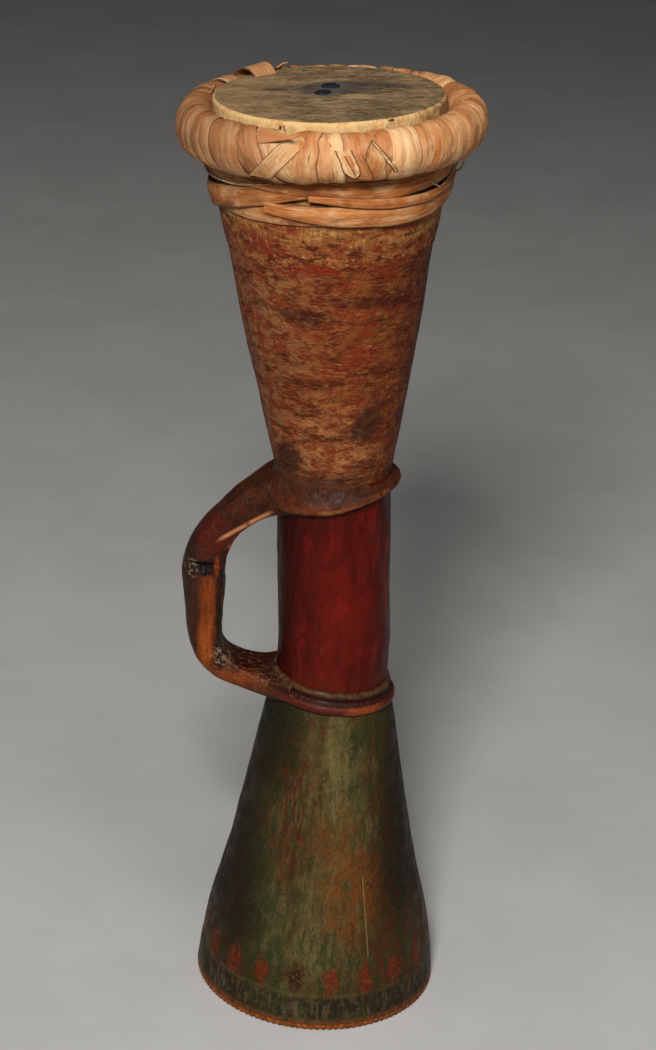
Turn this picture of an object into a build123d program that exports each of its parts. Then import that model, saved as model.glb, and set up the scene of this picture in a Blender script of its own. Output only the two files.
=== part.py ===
"""A one-headed hourglass hand drum, carved from one log with its handle.

The foot stands on the floor at z = 0 with its centre at the origin. The lower half is turned about
Z. At BEND_HEIGHT the log bends, and the upper half, with the skin, the wrapped ring and the bindings,
leans LEAN degrees towards the handle, which is on the -X side. Heights that start with an S are
measured along that leaning axis from the bend.
"""

from build123d import *

import math
import os

# ---- the log: lengths in millimetres, angles in degrees ----
BEND_HEIGHT = 265.0
LEAN = 3.9

# ---- lower bell, turned about Z ----
FOOT_RADIUS = 84.5
FOOT_BAND_RADIUS = 82.2
FOOT_BAND_HEIGHT = 24.0
BELL_SHOULDER_RADIUS = 64.0
BELL_SHOULDER_HEIGHT = 106.0
BELL_TOP_LIP = 3.0
BELL_TOP_HEIGHT = 228.0
BELL_WALL = 7.5

# ---- waist and the two carved collars ----
WAIST_RADIUS = 38.0
BORE_RADIUS = 25.0
COLLAR_LIP = 6.0
LEDGE_LIP = 2.6
LOWER_COLLAR_HEIGHT = 227.6
LOWER_COLLAR_THICKNESS = 9.2
LEDGE_HEIGHT = 237.5
LEDGE_THICKNESS = 5.0
LOWER_COLLAR_TILT = -4.2
UPPER_COLLAR_S = 114.0
UPPER_COLLAR_THICKNESS = 12.0
UPPER_COLLAR_TILT = 6.9
COLLAR_ROUNDING = 2.4

# ---- upper cup, turned about the leaning axis ----
S_FLARE = 128.0
S_CUP_MIDDLE = 215.0
CUP_MIDDLE_RADIUS = 55.2
S_RIM = 374.0
SHOULDER_DROP = 55.0
RIM_RADIUS = 72.0
CUP_WALL = 6.5

# ---- handle: (reach out of the waist, share of the way from lower to upper collar,
# direction in degrees from -X towards -Z, thickness, width) along its middle ----
HANDLE_STATIONS = (
    (-16.0, 0.9620, 2.0, 23.0, 54.0),
    (-4.0, 0.9488, 9.0, 22.0, 55.0),
    (10.0, 0.9250, 19.0, 20.0, 44.0),
    (27.5, 0.8529, 38.0, 20.0, 36.0),
    (45.5, 0.7205, 56.0, 25.0, 30.0),
    (53.0, 0.5584, 88.0, 31.0, 28.0),
    (51.6, 0.3732, 93.0, 26.8, 27.0),
    (50.2, 0.2276, 98.0, 23.6, 27.0),
    (40.5, 0.0953, 142.0, 19.0, 31.0),
    (23.0, 0.0463, 164.0, 14.5, 39.0),
    (10.0, 0.0291, 171.0, 14.5, 45.0),
    (-3.0, 0.0271, 176.0, 16.4, 54.0),
    (-16.0, 0.0285, 178.0, 17.0, 52.0),
)
HANDLE_CORNER_SHARE = 0.36
HANDLE_TOP = BEND_HEIGHT + UPPER_COLLAR_S * math.cos(math.radians(LEAN))
HANDLE_SPAN = HANDLE_TOP - LOWER_COLLAR_HEIGHT

# ---- skin and the wax on it ----
SKIN_THICKNESS = 1.3
SKIRT_DROP = 91.0
WAX_RADII = (6.5, 5.6)
WAX_HEIGHTS = (2.2, 1.9)
WAX_PLACES = ((0.0, 17.0), (-4.0, 1.0))
WAX_DRAFT = 22.0

# ---- ring: two cane hoops in packing, wound with strips ----
RING_CLEARANCE = 0.3
RING_WIDTH = 23.6
RING_HEIGHT = 28.0
RING_DROP = 18.0
WRAP_THICKNESS = 2.2
WRAP_COUNT = 8
WRAP_GAP_DEGREES = 0.15
CANE_COVER = 1.6
CANE_GAP = 1.2
CANE_CLEARANCE = 0.1

# ---- loose ends of the wrap strips that stand up behind the skin: (azimuth, width, rise, lean) ----
TAIL_WRAP = 3
TAILS = ((127.5, 15.0, 12.0, 24.0), (117.0, 9.0, 7.5, 12.0))
TAIL_THICKNESS = 1.4
TAIL_INSET = 4.0

# ---- flat strips that bind the skin under the ring ----
BINDING_CLEARANCE = 0.1
BINDING_SEAM = 0.2
RING_TO_BINDING = 0.2
BINDING_HEIGHT = 35.8
INNER_BINDING_SPLIT = 0.5
INNER_BINDING_THICKNESS = 2.4
OUTER_BINDING_THICKNESS = 2.4
OUTER_BINDING_START = 0.28
OUTER_BINDING_SPLIT = 0.62
TWINE_RADIUS = 0.8

os.makedirs("parts", exist_ok=True)


# ---- the leaning frame ----
def leaning(x, y, s):
    """Point at x, y across the leaning axis and s along it, in the drum's own frame."""
    turn = math.radians(LEAN)
    return (
        x * math.cos(turn) - s * math.sin(turn),
        y,
        BEND_HEIGHT + x * math.sin(turn) + s * math.cos(turn),
    )


def leaning_direction(x, y, s):
    """Direction x, y across the leaning axis and s along it."""
    turn = math.radians(LEAN)
    return (x * math.cos(turn) - s * math.sin(turn), y, x * math.sin(turn) + s * math.cos(turn))


BEND_POINT = (0.0, 0.0, BEND_HEIGHT)
UPRIGHT_AXIS = Axis.Z
LEANING_AXIS = Axis(BEND_POINT, leaning_direction(0, 0, 1))


def leaning_level(s):
    """Plane square to the leaning axis at height s along it."""
    return Plane(leaning(0, 0, s), x_dir=leaning_direction(1, 0, 0), z_dir=leaning_direction(0, 0, 1))


def leaning_half_plane(azimuth=0.0):
    """Plane through the leaning axis: its x runs outwards at that azimuth and its y along the axis."""
    turn = math.radians(azimuth)
    outwards = leaning_direction(math.cos(turn), math.sin(turn), 0)
    across = leaning_direction(math.sin(turn), -math.cos(turn), 0)
    return Plane(BEND_POINT, x_dir=outwards, z_dir=across)


def save(part, name):
    """Labels a finished piece and writes its STEP file."""
    part.label = name
    export_step(part, f"parts/{name}.step")


# ---- sizes that follow from the driving ones ----
S_SHOULDER = S_RIM - SHOULDER_DROP
S_SKIRT_END = S_RIM - SKIRT_DROP
S_RING_MIDDLE = S_RIM - RING_DROP
S_BINDING_TOP = S_RING_MIDDLE - RING_HEIGHT / 2 - RING_TO_BINDING
S_BINDING_START = S_BINDING_TOP - BINDING_HEIGHT
CUP_SLOPE = (RIM_RADIUS - CUP_MIDDLE_RADIUS) / (S_SHOULDER - S_CUP_MIDDLE)
SKIN_RADIUS = RIM_RADIUS + SKIN_THICKNESS
RING_RADIUS = SKIN_RADIUS + RING_CLEARANCE + RING_WIDTH / 2
COLLAR_RADIUS = WAIST_RADIUS + COLLAR_LIP
BELL_TOP_RADIUS = WAIST_RADIUS + BELL_TOP_LIP
PACKING_WIDTH = RING_WIDTH - 2 * WRAP_THICKNESS
PACKING_HEIGHT = RING_HEIGHT - 2 * WRAP_THICKNESS
CANE_RADIUS = (PACKING_HEIGHT / 2 - CANE_COVER - CANE_GAP / 2) / 2
CANE_RISE = CANE_RADIUS + CANE_GAP / 2


def cup_radius(s):
    """Outer radius of the cup at height s, above its middle."""
    return min(RIM_RADIUS, CUP_MIDDLE_RADIUS + (s - S_CUP_MIDDLE) * CUP_SLOPE)


# ---- drum shell ----
with BuildPart() as lower_shell:
    with BuildSketch(Plane.XZ):
        with BuildLine():
            Line((0, 0), (FOOT_RADIUS, 0))
            Line((FOOT_RADIUS, 0), (FOOT_BAND_RADIUS, FOOT_BAND_HEIGHT))
            Spline(
                (FOOT_BAND_RADIUS, FOOT_BAND_HEIGHT),
                (BELL_SHOULDER_RADIUS, BELL_SHOULDER_HEIGHT),
                tangents=(
                    (FOOT_BAND_RADIUS - FOOT_RADIUS, FOOT_BAND_HEIGHT),
                    (BELL_TOP_RADIUS - BELL_SHOULDER_RADIUS, BELL_TOP_HEIGHT - BELL_SHOULDER_HEIGHT),
                ),
            )
            Line((BELL_SHOULDER_RADIUS, BELL_SHOULDER_HEIGHT), (BELL_TOP_RADIUS, BELL_TOP_HEIGHT))
            Line((BELL_TOP_RADIUS, BELL_TOP_HEIGHT), (WAIST_RADIUS, BELL_TOP_HEIGHT))
            Line((WAIST_RADIUS, BELL_TOP_HEIGHT), (WAIST_RADIUS, BEND_HEIGHT))
            Line((WAIST_RADIUS, BEND_HEIGHT), (0, BEND_HEIGHT))
            Line((0, BEND_HEIGHT), (0, 0))
        make_face()
    revolve(axis=UPRIGHT_AXIS)
    with Locations(BEND_POINT):
        Sphere(WAIST_RADIUS)

with BuildPart() as lower_collar:
    with BuildSketch(Plane.XY.offset(LOWER_COLLAR_HEIGHT).rotated((0, -LOWER_COLLAR_TILT, 0))):
        Circle(COLLAR_RADIUS)
    extrude(amount=LOWER_COLLAR_THICKNESS / 2, both=True)
    fillet(lower_collar.edges().sort_by(Axis.Z)[-1], COLLAR_ROUNDING)

with BuildPart() as waist_ledge:
    with BuildSketch(Plane.XY.offset(LEDGE_HEIGHT).rotated((0, -LOWER_COLLAR_TILT, 0))):
        Circle(WAIST_RADIUS + LEDGE_LIP)
    extrude(amount=LEDGE_THICKNESS / 2, both=True)
    fillet(waist_ledge.edges(), LEDGE_LIP / 2)

with BuildPart() as upper_shell:
    with BuildSketch(leaning_half_plane()):
        with BuildLine():
            Polyline(
                (0, 0),
                (WAIST_RADIUS, 0),
                (WAIST_RADIUS, S_FLARE),
                (CUP_MIDDLE_RADIUS, S_CUP_MIDDLE),
                (RIM_RADIUS, S_SHOULDER),
                (RIM_RADIUS, S_RIM),
                (0, S_RIM),
                close=True,
            )
        make_face()
    revolve(axis=LEANING_AXIS)

with BuildPart() as upper_collar:
    with BuildSketch(leaning_level(UPPER_COLLAR_S).rotated((0, -UPPER_COLLAR_TILT, 0))):
        Circle(COLLAR_RADIUS)
    extrude(amount=UPPER_COLLAR_THICKNESS / 2, both=True)
    fillet(upper_collar.edges(), COLLAR_ROUNDING)

with BuildPart() as handle:
    for reach, level, heading, thickness, width in HANDLE_STATIONS:
        turn = math.radians(heading)
        along = (-math.cos(turn), 0, -math.sin(turn))
        middle = (-WAIST_RADIUS - reach, 0, LOWER_COLLAR_HEIGHT + level * HANDLE_SPAN)
        with BuildSketch(Plane(middle, x_dir=(0, 1, 0), z_dir=along)):
            RectangleRounded(width, thickness, HANDLE_CORNER_SHARE * thickness)
    loft()

with BuildPart() as bore:
    with BuildSketch(Plane.XZ):
        with BuildLine():
            Line((0, 0), (FOOT_RADIUS - BELL_WALL, 0))
            Line((FOOT_RADIUS - BELL_WALL, 0), (FOOT_BAND_RADIUS - BELL_WALL, FOOT_BAND_HEIGHT))
            Spline(
                (FOOT_BAND_RADIUS - BELL_WALL, FOOT_BAND_HEIGHT),
                (BELL_SHOULDER_RADIUS - BELL_WALL, BELL_SHOULDER_HEIGHT),
                tangents=(
                    (FOOT_BAND_RADIUS - FOOT_RADIUS, FOOT_BAND_HEIGHT),
                    (BELL_TOP_RADIUS - BELL_SHOULDER_RADIUS, BELL_TOP_HEIGHT - BELL_SHOULDER_HEIGHT),
                ),
            )
            Line((BELL_SHOULDER_RADIUS - BELL_WALL, BELL_SHOULDER_HEIGHT), (BORE_RADIUS, BELL_TOP_HEIGHT))
            Line((BORE_RADIUS, BELL_TOP_HEIGHT), (BORE_RADIUS, BEND_HEIGHT))
            Line((BORE_RADIUS, BEND_HEIGHT), (0, BEND_HEIGHT))
            Line((0, BEND_HEIGHT), (0, 0))
        make_face()
    revolve(axis=UPRIGHT_AXIS)
    with Locations(BEND_POINT):
        Sphere(BORE_RADIUS)
    with BuildSketch(leaning_half_plane()):
        with BuildLine():
            Polyline(
                (0, 0),
                (BORE_RADIUS, 0),
                (BORE_RADIUS, S_FLARE),
                (RIM_RADIUS - CUP_WALL, S_SHOULDER),
                (RIM_RADIUS - CUP_WALL, S_RIM),
                (0, S_RIM),
                close=True,
            )
        make_face()
    revolve(axis=LEANING_AXIS)

with BuildPart() as drum_shell:
    add(lower_shell.part)
    add(upper_shell.part)
    add(lower_collar.part)
    add(waist_ledge.part)
    add(upper_collar.part)
    add(handle.part)
    add(bore.part, mode=Mode.SUBTRACT)
save(drum_shell.part, "drum_shell")


# ---- skin: the disc and the skirt that runs down outside the rim ----
with BuildPart() as drum_skin:
    with BuildSketch(leaning_half_plane()):
        with BuildLine():
            Polyline(
                (0, S_RIM),
                (RIM_RADIUS, S_RIM),
                (RIM_RADIUS, S_SHOULDER),
                (cup_radius(S_SKIRT_END), S_SKIRT_END),
                (cup_radius(S_SKIRT_END) + SKIN_THICKNESS, S_SKIRT_END),
                (SKIN_RADIUS, S_SHOULDER),
                (SKIN_RADIUS, S_RIM + SKIN_THICKNESS),
                (0, S_RIM + SKIN_THICKNESS),
                close=True,
            )
        make_face()
    revolve(axis=LEANING_AXIS)
save(drum_skin.part, "drum_skin")

for number, (radius, rise, place) in enumerate(zip(WAX_RADII, WAX_HEIGHTS, WAX_PLACES), start=1):
    with BuildPart() as tuning_wax:
        with BuildSketch(leaning_level(S_RIM + SKIN_THICKNESS)):
            with Locations(place):
                Circle(radius)
        extrude(amount=rise, taper=WAX_DRAFT)
        fillet(tuning_wax.edges().sort_by(LEANING_AXIS)[-1], rise / 3)
    save(tuning_wax.part, f"tuning_wax_{number}")


# ---- ring: cane hoops, packing and the wound strips ----
with BuildPart() as ring_packing:
    with BuildSketch(leaning_half_plane()):
        with Locations((RING_RADIUS, S_RING_MIDDLE)):
            Ellipse(PACKING_WIDTH / 2, PACKING_HEIGHT / 2)
        with Locations(
            (RING_RADIUS, S_RING_MIDDLE - CANE_RISE),
            (RING_RADIUS, S_RING_MIDDLE + CANE_RISE),
        ):
            Circle(CANE_RADIUS + CANE_CLEARANCE, mode=Mode.SUBTRACT)
    revolve(axis=LEANING_AXIS)
save(ring_packing.part, "ring_packing")

for name, rise in (("cane_hoop_lower", -CANE_RISE), ("cane_hoop_upper", CANE_RISE)):
    with BuildPart() as cane_hoop:
        with BuildSketch(leaning_half_plane()):
            with Locations((RING_RADIUS, S_RING_MIDDLE + rise)):
                Circle(CANE_RADIUS)
        revolve(axis=LEANING_AXIS)
    save(cane_hoop.part, name)

WRAP_ARC = 360.0 / WRAP_COUNT
S_RING_TOP = S_RING_MIDDLE + RING_HEIGHT / 2
for number in range(1, WRAP_COUNT + 1):
    start = (number - 1) * WRAP_ARC
    with BuildPart() as ring_wrap:
        with BuildSketch(leaning_half_plane(start)):
            with Locations((RING_RADIUS, S_RING_MIDDLE)):
                Ellipse(RING_WIDTH / 2, RING_HEIGHT / 2)
                Ellipse(PACKING_WIDTH / 2, PACKING_HEIGHT / 2, mode=Mode.SUBTRACT)
        revolve(axis=LEANING_AXIS, revolution_arc=WRAP_ARC - WRAP_GAP_DEGREES)
        if number == TAIL_WRAP:
            for azimuth, width, rise, tail_lean in TAILS:
                turn = math.radians(azimuth)
                reach = RING_RADIUS - TAIL_INSET
                foot = leaning(reach * math.cos(turn), reach * math.sin(turn), S_RING_TOP - TAIL_THICKNESS)
                tilt = math.radians(tail_lean)
                up = leaning_direction(
                    -math.sin(tilt) * math.cos(turn),
                    -math.sin(tilt) * math.sin(turn),
                    math.cos(tilt),
                )
                side = leaning_direction(-math.sin(turn), math.cos(turn), 0)
                with BuildSketch(Plane(foot, x_dir=side, z_dir=up)):
                    Rectangle(width, TAIL_THICKNESS)
                extrude(amount=rise)
    save(ring_wrap.part, f"ring_wrap_{number}")


# ---- bindings: two strips side by side on the skirt and two over them ----
SEAM_SHARE = BINDING_SEAM / BINDING_HEIGHT


def binding_band(low_share, high_share, depth, thickness):
    """Section of a flat strip that lies round the skirt, from one share of the height to another."""
    low = S_BINDING_START + low_share * BINDING_HEIGHT
    high = S_BINDING_START + high_share * BINDING_HEIGHT
    middle = min(max(S_SHOULDER, low), high)
    lift = SKIN_THICKNESS + BINDING_CLEARANCE + depth
    levels = [low, middle, high] if low < middle < high else [low, high]
    inside = [(cup_radius(level) + lift, level) for level in levels]
    outside = [(radius + thickness, level) for radius, level in reversed(inside)]
    return inside + outside


OUTER_DEPTH = INNER_BINDING_THICKNESS + BINDING_CLEARANCE
BINDINGS = (
    (0.0, INNER_BINDING_SPLIT - SEAM_SHARE, 0.0, INNER_BINDING_THICKNESS),
    (INNER_BINDING_SPLIT, 1.0, 0.0, INNER_BINDING_THICKNESS),
    (OUTER_BINDING_START, OUTER_BINDING_SPLIT - SEAM_SHARE, OUTER_DEPTH, OUTER_BINDING_THICKNESS),
    (OUTER_BINDING_SPLIT, 1.0, OUTER_DEPTH, OUTER_BINDING_THICKNESS),
)
for number, (low_share, high_share, depth, thickness) in enumerate(BINDINGS, start=1):
    with BuildPart() as binding_strip:
        with BuildSketch(leaning_half_plane()):
            with BuildLine():
                Polyline(*binding_band(low_share, high_share, depth, thickness), close=True)
            make_face()
        revolve(axis=LEANING_AXIS)
    save(binding_strip.part, f"binding_strip_{number}")

S_TWINE = S_BINDING_START + OUTER_BINDING_START * BINDING_HEIGHT - TWINE_RADIUS - BINDING_CLEARANCE
TWINE_LOOP_RADIUS = (
    cup_radius(S_TWINE) + SKIN_THICKNESS + INNER_BINDING_THICKNESS + 2 * BINDING_CLEARANCE + TWINE_RADIUS
)
with BuildPart() as binding_twine:
    with BuildSketch(leaning_half_plane()):
        with Locations((TWINE_LOOP_RADIUS, S_TWINE)):
            Circle(TWINE_RADIUS)
    revolve(axis=LEANING_AXIS)
save(binding_twine.part, "binding_twine")
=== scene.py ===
"""Looks of a carved one-headed hand drum: painted log, carved handle, rawhide head, bast-wound ring.

Sizes are millimetres until a point is placed, and the frame is metres. Heights run along the log's
centreline, which stands upright to the bend and leans towards the handle above it. Azimuth 0 is +X,
the handle is at 180 degrees and the front is at 270.
"""

import logging
import math
import random
from dataclasses import dataclass, field
from enum import Enum
from typing import Any, Callable, Iterable, Sequence

import bmesh
import bpy
from mathutils import Matrix, Vector, noise


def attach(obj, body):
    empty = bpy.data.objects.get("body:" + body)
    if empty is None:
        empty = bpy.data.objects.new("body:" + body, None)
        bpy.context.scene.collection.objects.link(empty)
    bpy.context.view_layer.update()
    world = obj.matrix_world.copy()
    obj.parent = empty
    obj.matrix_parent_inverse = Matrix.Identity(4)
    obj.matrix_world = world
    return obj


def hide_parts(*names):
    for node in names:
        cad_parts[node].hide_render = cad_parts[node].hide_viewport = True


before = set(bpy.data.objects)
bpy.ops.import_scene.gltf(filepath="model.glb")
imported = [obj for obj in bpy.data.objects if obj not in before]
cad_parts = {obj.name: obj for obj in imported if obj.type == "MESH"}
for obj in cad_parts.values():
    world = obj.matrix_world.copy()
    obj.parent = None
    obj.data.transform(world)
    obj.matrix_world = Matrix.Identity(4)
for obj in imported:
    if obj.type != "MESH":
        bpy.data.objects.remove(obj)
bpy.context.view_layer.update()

MM = 0.001
BODY = "root"
LOG = logging.getLogger("hourglass_drum")


# ---------------------------------------------------------------- small tools
def linear(hex_colour: str) -> tuple[float, float, float, float]:
    """Turns an sRGB hex colour into the linear colour that shaders take.

    Args:
        hex_colour: Six hex digits, red first.

    Returns:
        Red, green, blue and an alpha of 1.
    """
    parts = [int(hex_colour[i:i + 2], 16) / 255 for i in (0, 2, 4)]
    lin = [p / 12.92 if p <= 0.04045 else ((p + 0.055) / 1.055) ** 2.4 for p in parts]
    return (lin[0], lin[1], lin[2], 1.0)


def smooth_share(value: float, start: float, end: float) -> float:
    """Eases a value between two others.

    Args:
        value: The value.
        start: Where the share is 0.
        end: Where it is 1.

    Returns:
        How far the value is from start to end, eased, from 0 to 1.
    """
    share = min(1.0, max(0.0, (value - start) / (end - start)))
    return share * share * (3 - 2 * share)


def blend_keys(keys: Sequence[tuple[float, float]], at: float) -> float:
    """Reads a value off a line through keys.

    Args:
        keys: Pairs of place and value, places rising.
        at: The place to read.

    Returns:
        The value there, held past both ends.
    """
    if at <= keys[0][0]:
        return keys[0][1]
    for (low, first), (high, second) in zip(keys, keys[1:]):
        if at <= high:
            return first + (second - first) * (at - low) / (high - low)
    return keys[-1][1]


def rough(point: Vector, grain: float, seed: float = 0.0) -> float:
    """Reads smooth noise at a point.

    Args:
        point: The point, in millimetres.
        grain: How wide a bump is, in millimetres.
        seed: Moves the pattern.

    Returns:
        The noise, from -1 to 1.
    """
    return noise.noise(point / grain + Vector((seed, seed * 1.7, seed * 2.3)))


@dataclass(frozen=True)
class Centreline:
    """Where the log's middle runs: upright, then leaning, with the small drift of a grown trunk."""

    bend_height: float = 265.0
    lean: float = 3.9
    easing: float = 10.0
    foot_drift: float = 1.7
    foot_drift_end: float = 200.0
    cup_drift: float = 0.9
    cup_drift_height: float = 420.0
    cup_drift_reach: float = 60.0

    def place(self, x: float, y: float, height: float) -> Vector:
        """Places a point of the log in the frame.

        Args:
            x: Millimetres across, towards +X.
            y: Millimetres across, towards +Y.
            height: Millimetres along the centreline from the foot.

        Returns:
            The point in metres.
        """
        share = smooth_share(height, self.bend_height - self.easing, self.bend_height + self.easing)
        turn = math.radians(self.lean) * share
        up = height - self.bend_height
        drift = self.foot_drift * (1 - smooth_share(height, 0, self.foot_drift_end))
        drift += self.cup_drift * math.exp(-((height - self.cup_drift_height) / self.cup_drift_reach) ** 2)
        side = x * math.cos(turn) - up * math.sin(turn) + drift
        return Vector((side, y, self.bend_height + x * math.sin(turn) + up * math.cos(turn))) * MM


CENTRE = Centreline()


def spin_profile(
    profile: Sequence[tuple[float, float]], segments: int, closed: bool = True,
) -> bmesh.types.BMesh:
    """Turns a profile about the upright axis.

    Args:
        profile: Pairs of radius and height in millimetres.
        segments: Steps of the full turn.
        closed: Whether the profile's last point joins its first.

    Returns:
        The spun mesh, doubles merged and normals outwards.
    """
    bm = bmesh.new()
    points = [bm.verts.new((radius, 0, height)) for radius, height in profile]
    edges = [bm.edges.new(pair) for pair in zip(points, points[1:])]
    if closed:
        edges.append(bm.edges.new((points[-1], points[0])))
    bmesh.ops.spin(
        bm, geom=points + edges, cent=(0, 0, 0), axis=(0, 0, 1), angle=math.tau,
        steps=segments, use_merge=True, use_duplicate=False,
    )
    bmesh.ops.remove_doubles(bm, verts=bm.verts[:], dist=1e-4)
    bmesh.ops.recalc_face_normals(bm, faces=bm.faces[:])
    return bm


def reshape(bm: bmesh.types.BMesh, rule: Callable[[float, float, float], Vector]) -> None:
    """Moves every vertex by a rule.

    Args:
        bm: The mesh, turned about the upright axis.
        rule: Takes azimuth in radians, radius and height, and gives the new place.
    """
    for vert in bm.verts:
        x, y, height = vert.co
        vert.co = rule(math.atan2(y, x), math.hypot(x, y), height)


def move_into(bm: bmesh.types.BMesh, other: bmesh.types.BMesh) -> None:
    """Moves a mesh into another.

    Args:
        bm: The mesh that takes it in.
        other: The mesh to move, freed here.
    """
    carrier = bpy.data.meshes.new("carrier")
    other.to_mesh(carrier)
    other.free()
    bm.from_mesh(carrier)
    bpy.data.meshes.remove(carrier)


def finish_piece(
    name: str,
    bm: bmesh.types.BMesh,
    materials: Sequence[bpy.types.Material],
    replaces: Iterable[str],
    crease: float = 50.0,
) -> bpy.types.Object:
    """Makes an object of a finished mesh and hands it to the frame.

    Args:
        name: The piece's name.
        bm: Its mesh in metres, freed here.
        materials: Its materials, in the order of the faces' indices.
        replaces: CAD nodes that it stands for.
        crease: Degrees past which an edge is shaded sharp.

    Returns:
        The object.
    """
    mesh = bpy.data.meshes.new(name)
    for face in bm.faces:
        face.smooth = True
    bm.to_mesh(mesh)
    bm.free()
    mesh.set_sharp_from_angle(angle=math.radians(crease))
    for material in materials:
        mesh.materials.append(material)
    piece = bpy.data.objects.new(name, mesh)
    bpy.context.scene.collection.objects.link(piece)
    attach(piece, BODY)
    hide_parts(*replaces)
    LOG.info("%s: %d faces", name, len(mesh.polygons))
    return piece


# ---------------------------------------------------------------- shader graph
class Graph:
    """The node tree of one material."""

    def __init__(self, name: str) -> None:
        """Starts an empty tree that reads Object coordinates.

        Args:
            name: The material's name.
        """
        self.material = bpy.data.materials.new(name)
        self.material.use_nodes = True
        self.tree = self.material.node_tree
        self.tree.nodes.clear()
        self.point = self.add("ShaderNodeTexCoord").outputs["Object"]
        split = self.add("ShaderNodeSeparateXYZ", links={0: self.point})
        self.x, self.y, self.z = split.outputs

    def add(
        self, kind: str, settings: dict[str, Any] | None = None, links: dict[Any, Any] | None = None
    ) -> bpy.types.Node:
        """Adds a node.

        Args:
            kind: The node's type.
            settings: Properties to set on it.
            links: Values or sockets for its inputs, by name or place.

        Returns:
            The node.
        """
        node = self.tree.nodes.new(kind)
        for key, value in (settings or {}).items():
            setattr(node, key, value)
        for key, value in (links or {}).items():
            if isinstance(value, bpy.types.NodeSocket):
                self.tree.links.new(value, node.inputs[key])
            else:
                node.inputs[key].default_value = value
        return node

    def patches(
        self, size: float, low: float, high: float, stretch: tuple[float, float, float] = (1, 1, 1),
        seed: float = 0.0, detail: float = 5.0, source: Any = None, warp: float = 0.4,
    ) -> bpy.types.NodeSocket:
        """Makes a mask of uneven patches.

        Args:
            size: How wide a patch is, in millimetres.
            low: Noise level where the mask starts.
            high: Noise level where it is full.
            stretch: How many times longer a patch is along each axis.
            seed: Moves the pattern.
            detail: How broken the edges are.
            source: Coordinates to read instead of Object ones.
            warp: How far the patches are distorted.

        Returns:
            A mask from 0 to 1.
        """
        scale = tuple(1 / (MM * size * s) for s in stretch)
        mapped = self.add("ShaderNodeMapping", links={
            "Vector": source or self.point, "Scale": scale, "Location": (seed, 1.7 * seed, 2.3 * seed),
        })
        texture = self.add("ShaderNodeTexNoise", links={
            "Vector": mapped.outputs[0], "Scale": 1.0, "Detail": detail, "Roughness": 0.6,
            "Distortion": warp,
        })
        return self.ease(texture.outputs[0], low, high)

    def ease(self, value: Any, low: float, high: float, top: float = 1.0) -> bpy.types.NodeSocket:
        """Turns a value between two levels into a soft mask.

        Args:
            value: The socket to read.
            low: Level at which the mask is 0; it may be the higher one.
            high: Level at which the mask is full.
            top: The mask's full value.

        Returns:
            The mask.
        """
        flip = low > high
        node = self.add("ShaderNodeMapRange", {"interpolation_type": "SMOOTHSTEP"}, {
            "Value": value, "From Min": min(low, high), "From Max": max(low, high),
            "To Min": top if flip else 0.0, "To Max": 0.0 if flip else top,
        })
        return node.outputs[0]

    def span(self, value: bpy.types.NodeSocket, low: float, high: float) -> bpy.types.NodeSocket:
        """Makes a soft mask between two places.

        Args:
            value: A coordinate in metres.
            low: Millimetres at which the mask is 0; it may be the higher one.
            high: Millimetres at which the mask is full.

        Returns:
            A mask from 0 to 1.
        """
        return self.ease(value, low * MM, high * MM)

    def both(self, *masks: Any) -> bpy.types.NodeSocket:
        """Shows a layer only where every mask does.

        Args:
            masks: Masks or numbers to multiply.

        Returns:
            Their product.
        """
        result = masks[0]
        for mask in masks[1:]:
            result = self.add("ShaderNodeMath", {"operation": "MULTIPLY"}, {0: result, 1: mask}).outputs[0]
        return result

    def either(self, *masks: Any) -> bpy.types.NodeSocket:
        """Shows a layer where any of the masks does.

        Args:
            masks: Masks or numbers to compare.

        Returns:
            The greatest of them at each point.
        """
        result = masks[0]
        for mask in masks[1:]:
            result = self.add("ShaderNodeMath", {"operation": "MAXIMUM"}, {0: result, 1: mask}).outputs[0]
        return result

    def spot(
        self, centre: tuple[float, float, float], reach: tuple[float, float, float],
        soft: float = 0.5, ragged: float = 0.5, grain: float = 5.0, seed: float = 0.0,
    ) -> bpy.types.NodeSocket:
        """Makes a mask around one place.

        Args:
            centre: The place, in millimetres.
            reach: How far it reaches along each axis, in millimetres.
            soft: Width of the fading edge, as a share of the reach.
            ragged: How far noise moves the edge, as a share of the reach.
            grain: Size of that noise in millimetres.
            seed: Moves the noise.

        Returns:
            A mask from 0 to 1.
        """
        mapped = self.add("ShaderNodeMapping", links={
            "Vector": self.point,
            "Scale": tuple(1 / (MM * r) for r in reach),
            "Location": tuple(-c / r for c, r in zip(centre, reach)),
        })
        distance = self.add("ShaderNodeVectorMath", {"operation": "LENGTH"}, {0: mapped.outputs[0]})
        wobble = self.patches(grain, 0.2, 0.8, seed=seed + centre[2])
        edge = self.add("ShaderNodeMath", {"operation": "MULTIPLY_ADD"}, {
            0: wobble, 1: ragged, 2: distance.outputs["Value"],
        })
        return self.ease(edge.outputs[0], 1 + ragged / 2 + soft / 2, 1 + ragged / 2 - soft / 2)

    def line(self, across: tuple[float, float], level: float, half: float) -> bpy.types.NodeSocket:
        """Makes a mask of a soft straight line on the front of the drum.

        Args:
            across: Direction across the line, as its parts along X and Z.
            level: Millimetres of the line's middle along that direction.
            half: Millimetres over which the line fades on either side.

        Returns:
            A mask, 1 on the line.
        """
        start = self.add("ShaderNodeMath", {"operation": "MULTIPLY"}, {0: self.x, 1: across[0]}).outputs[0]
        place = self.add("ShaderNodeMath", {"operation": "MULTIPLY_ADD"}, {
            0: self.z, 1: across[1], 2: start,
        }).outputs[0]
        return self.both(self.span(place, level - half, level), self.span(place, level + half, level))

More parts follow.
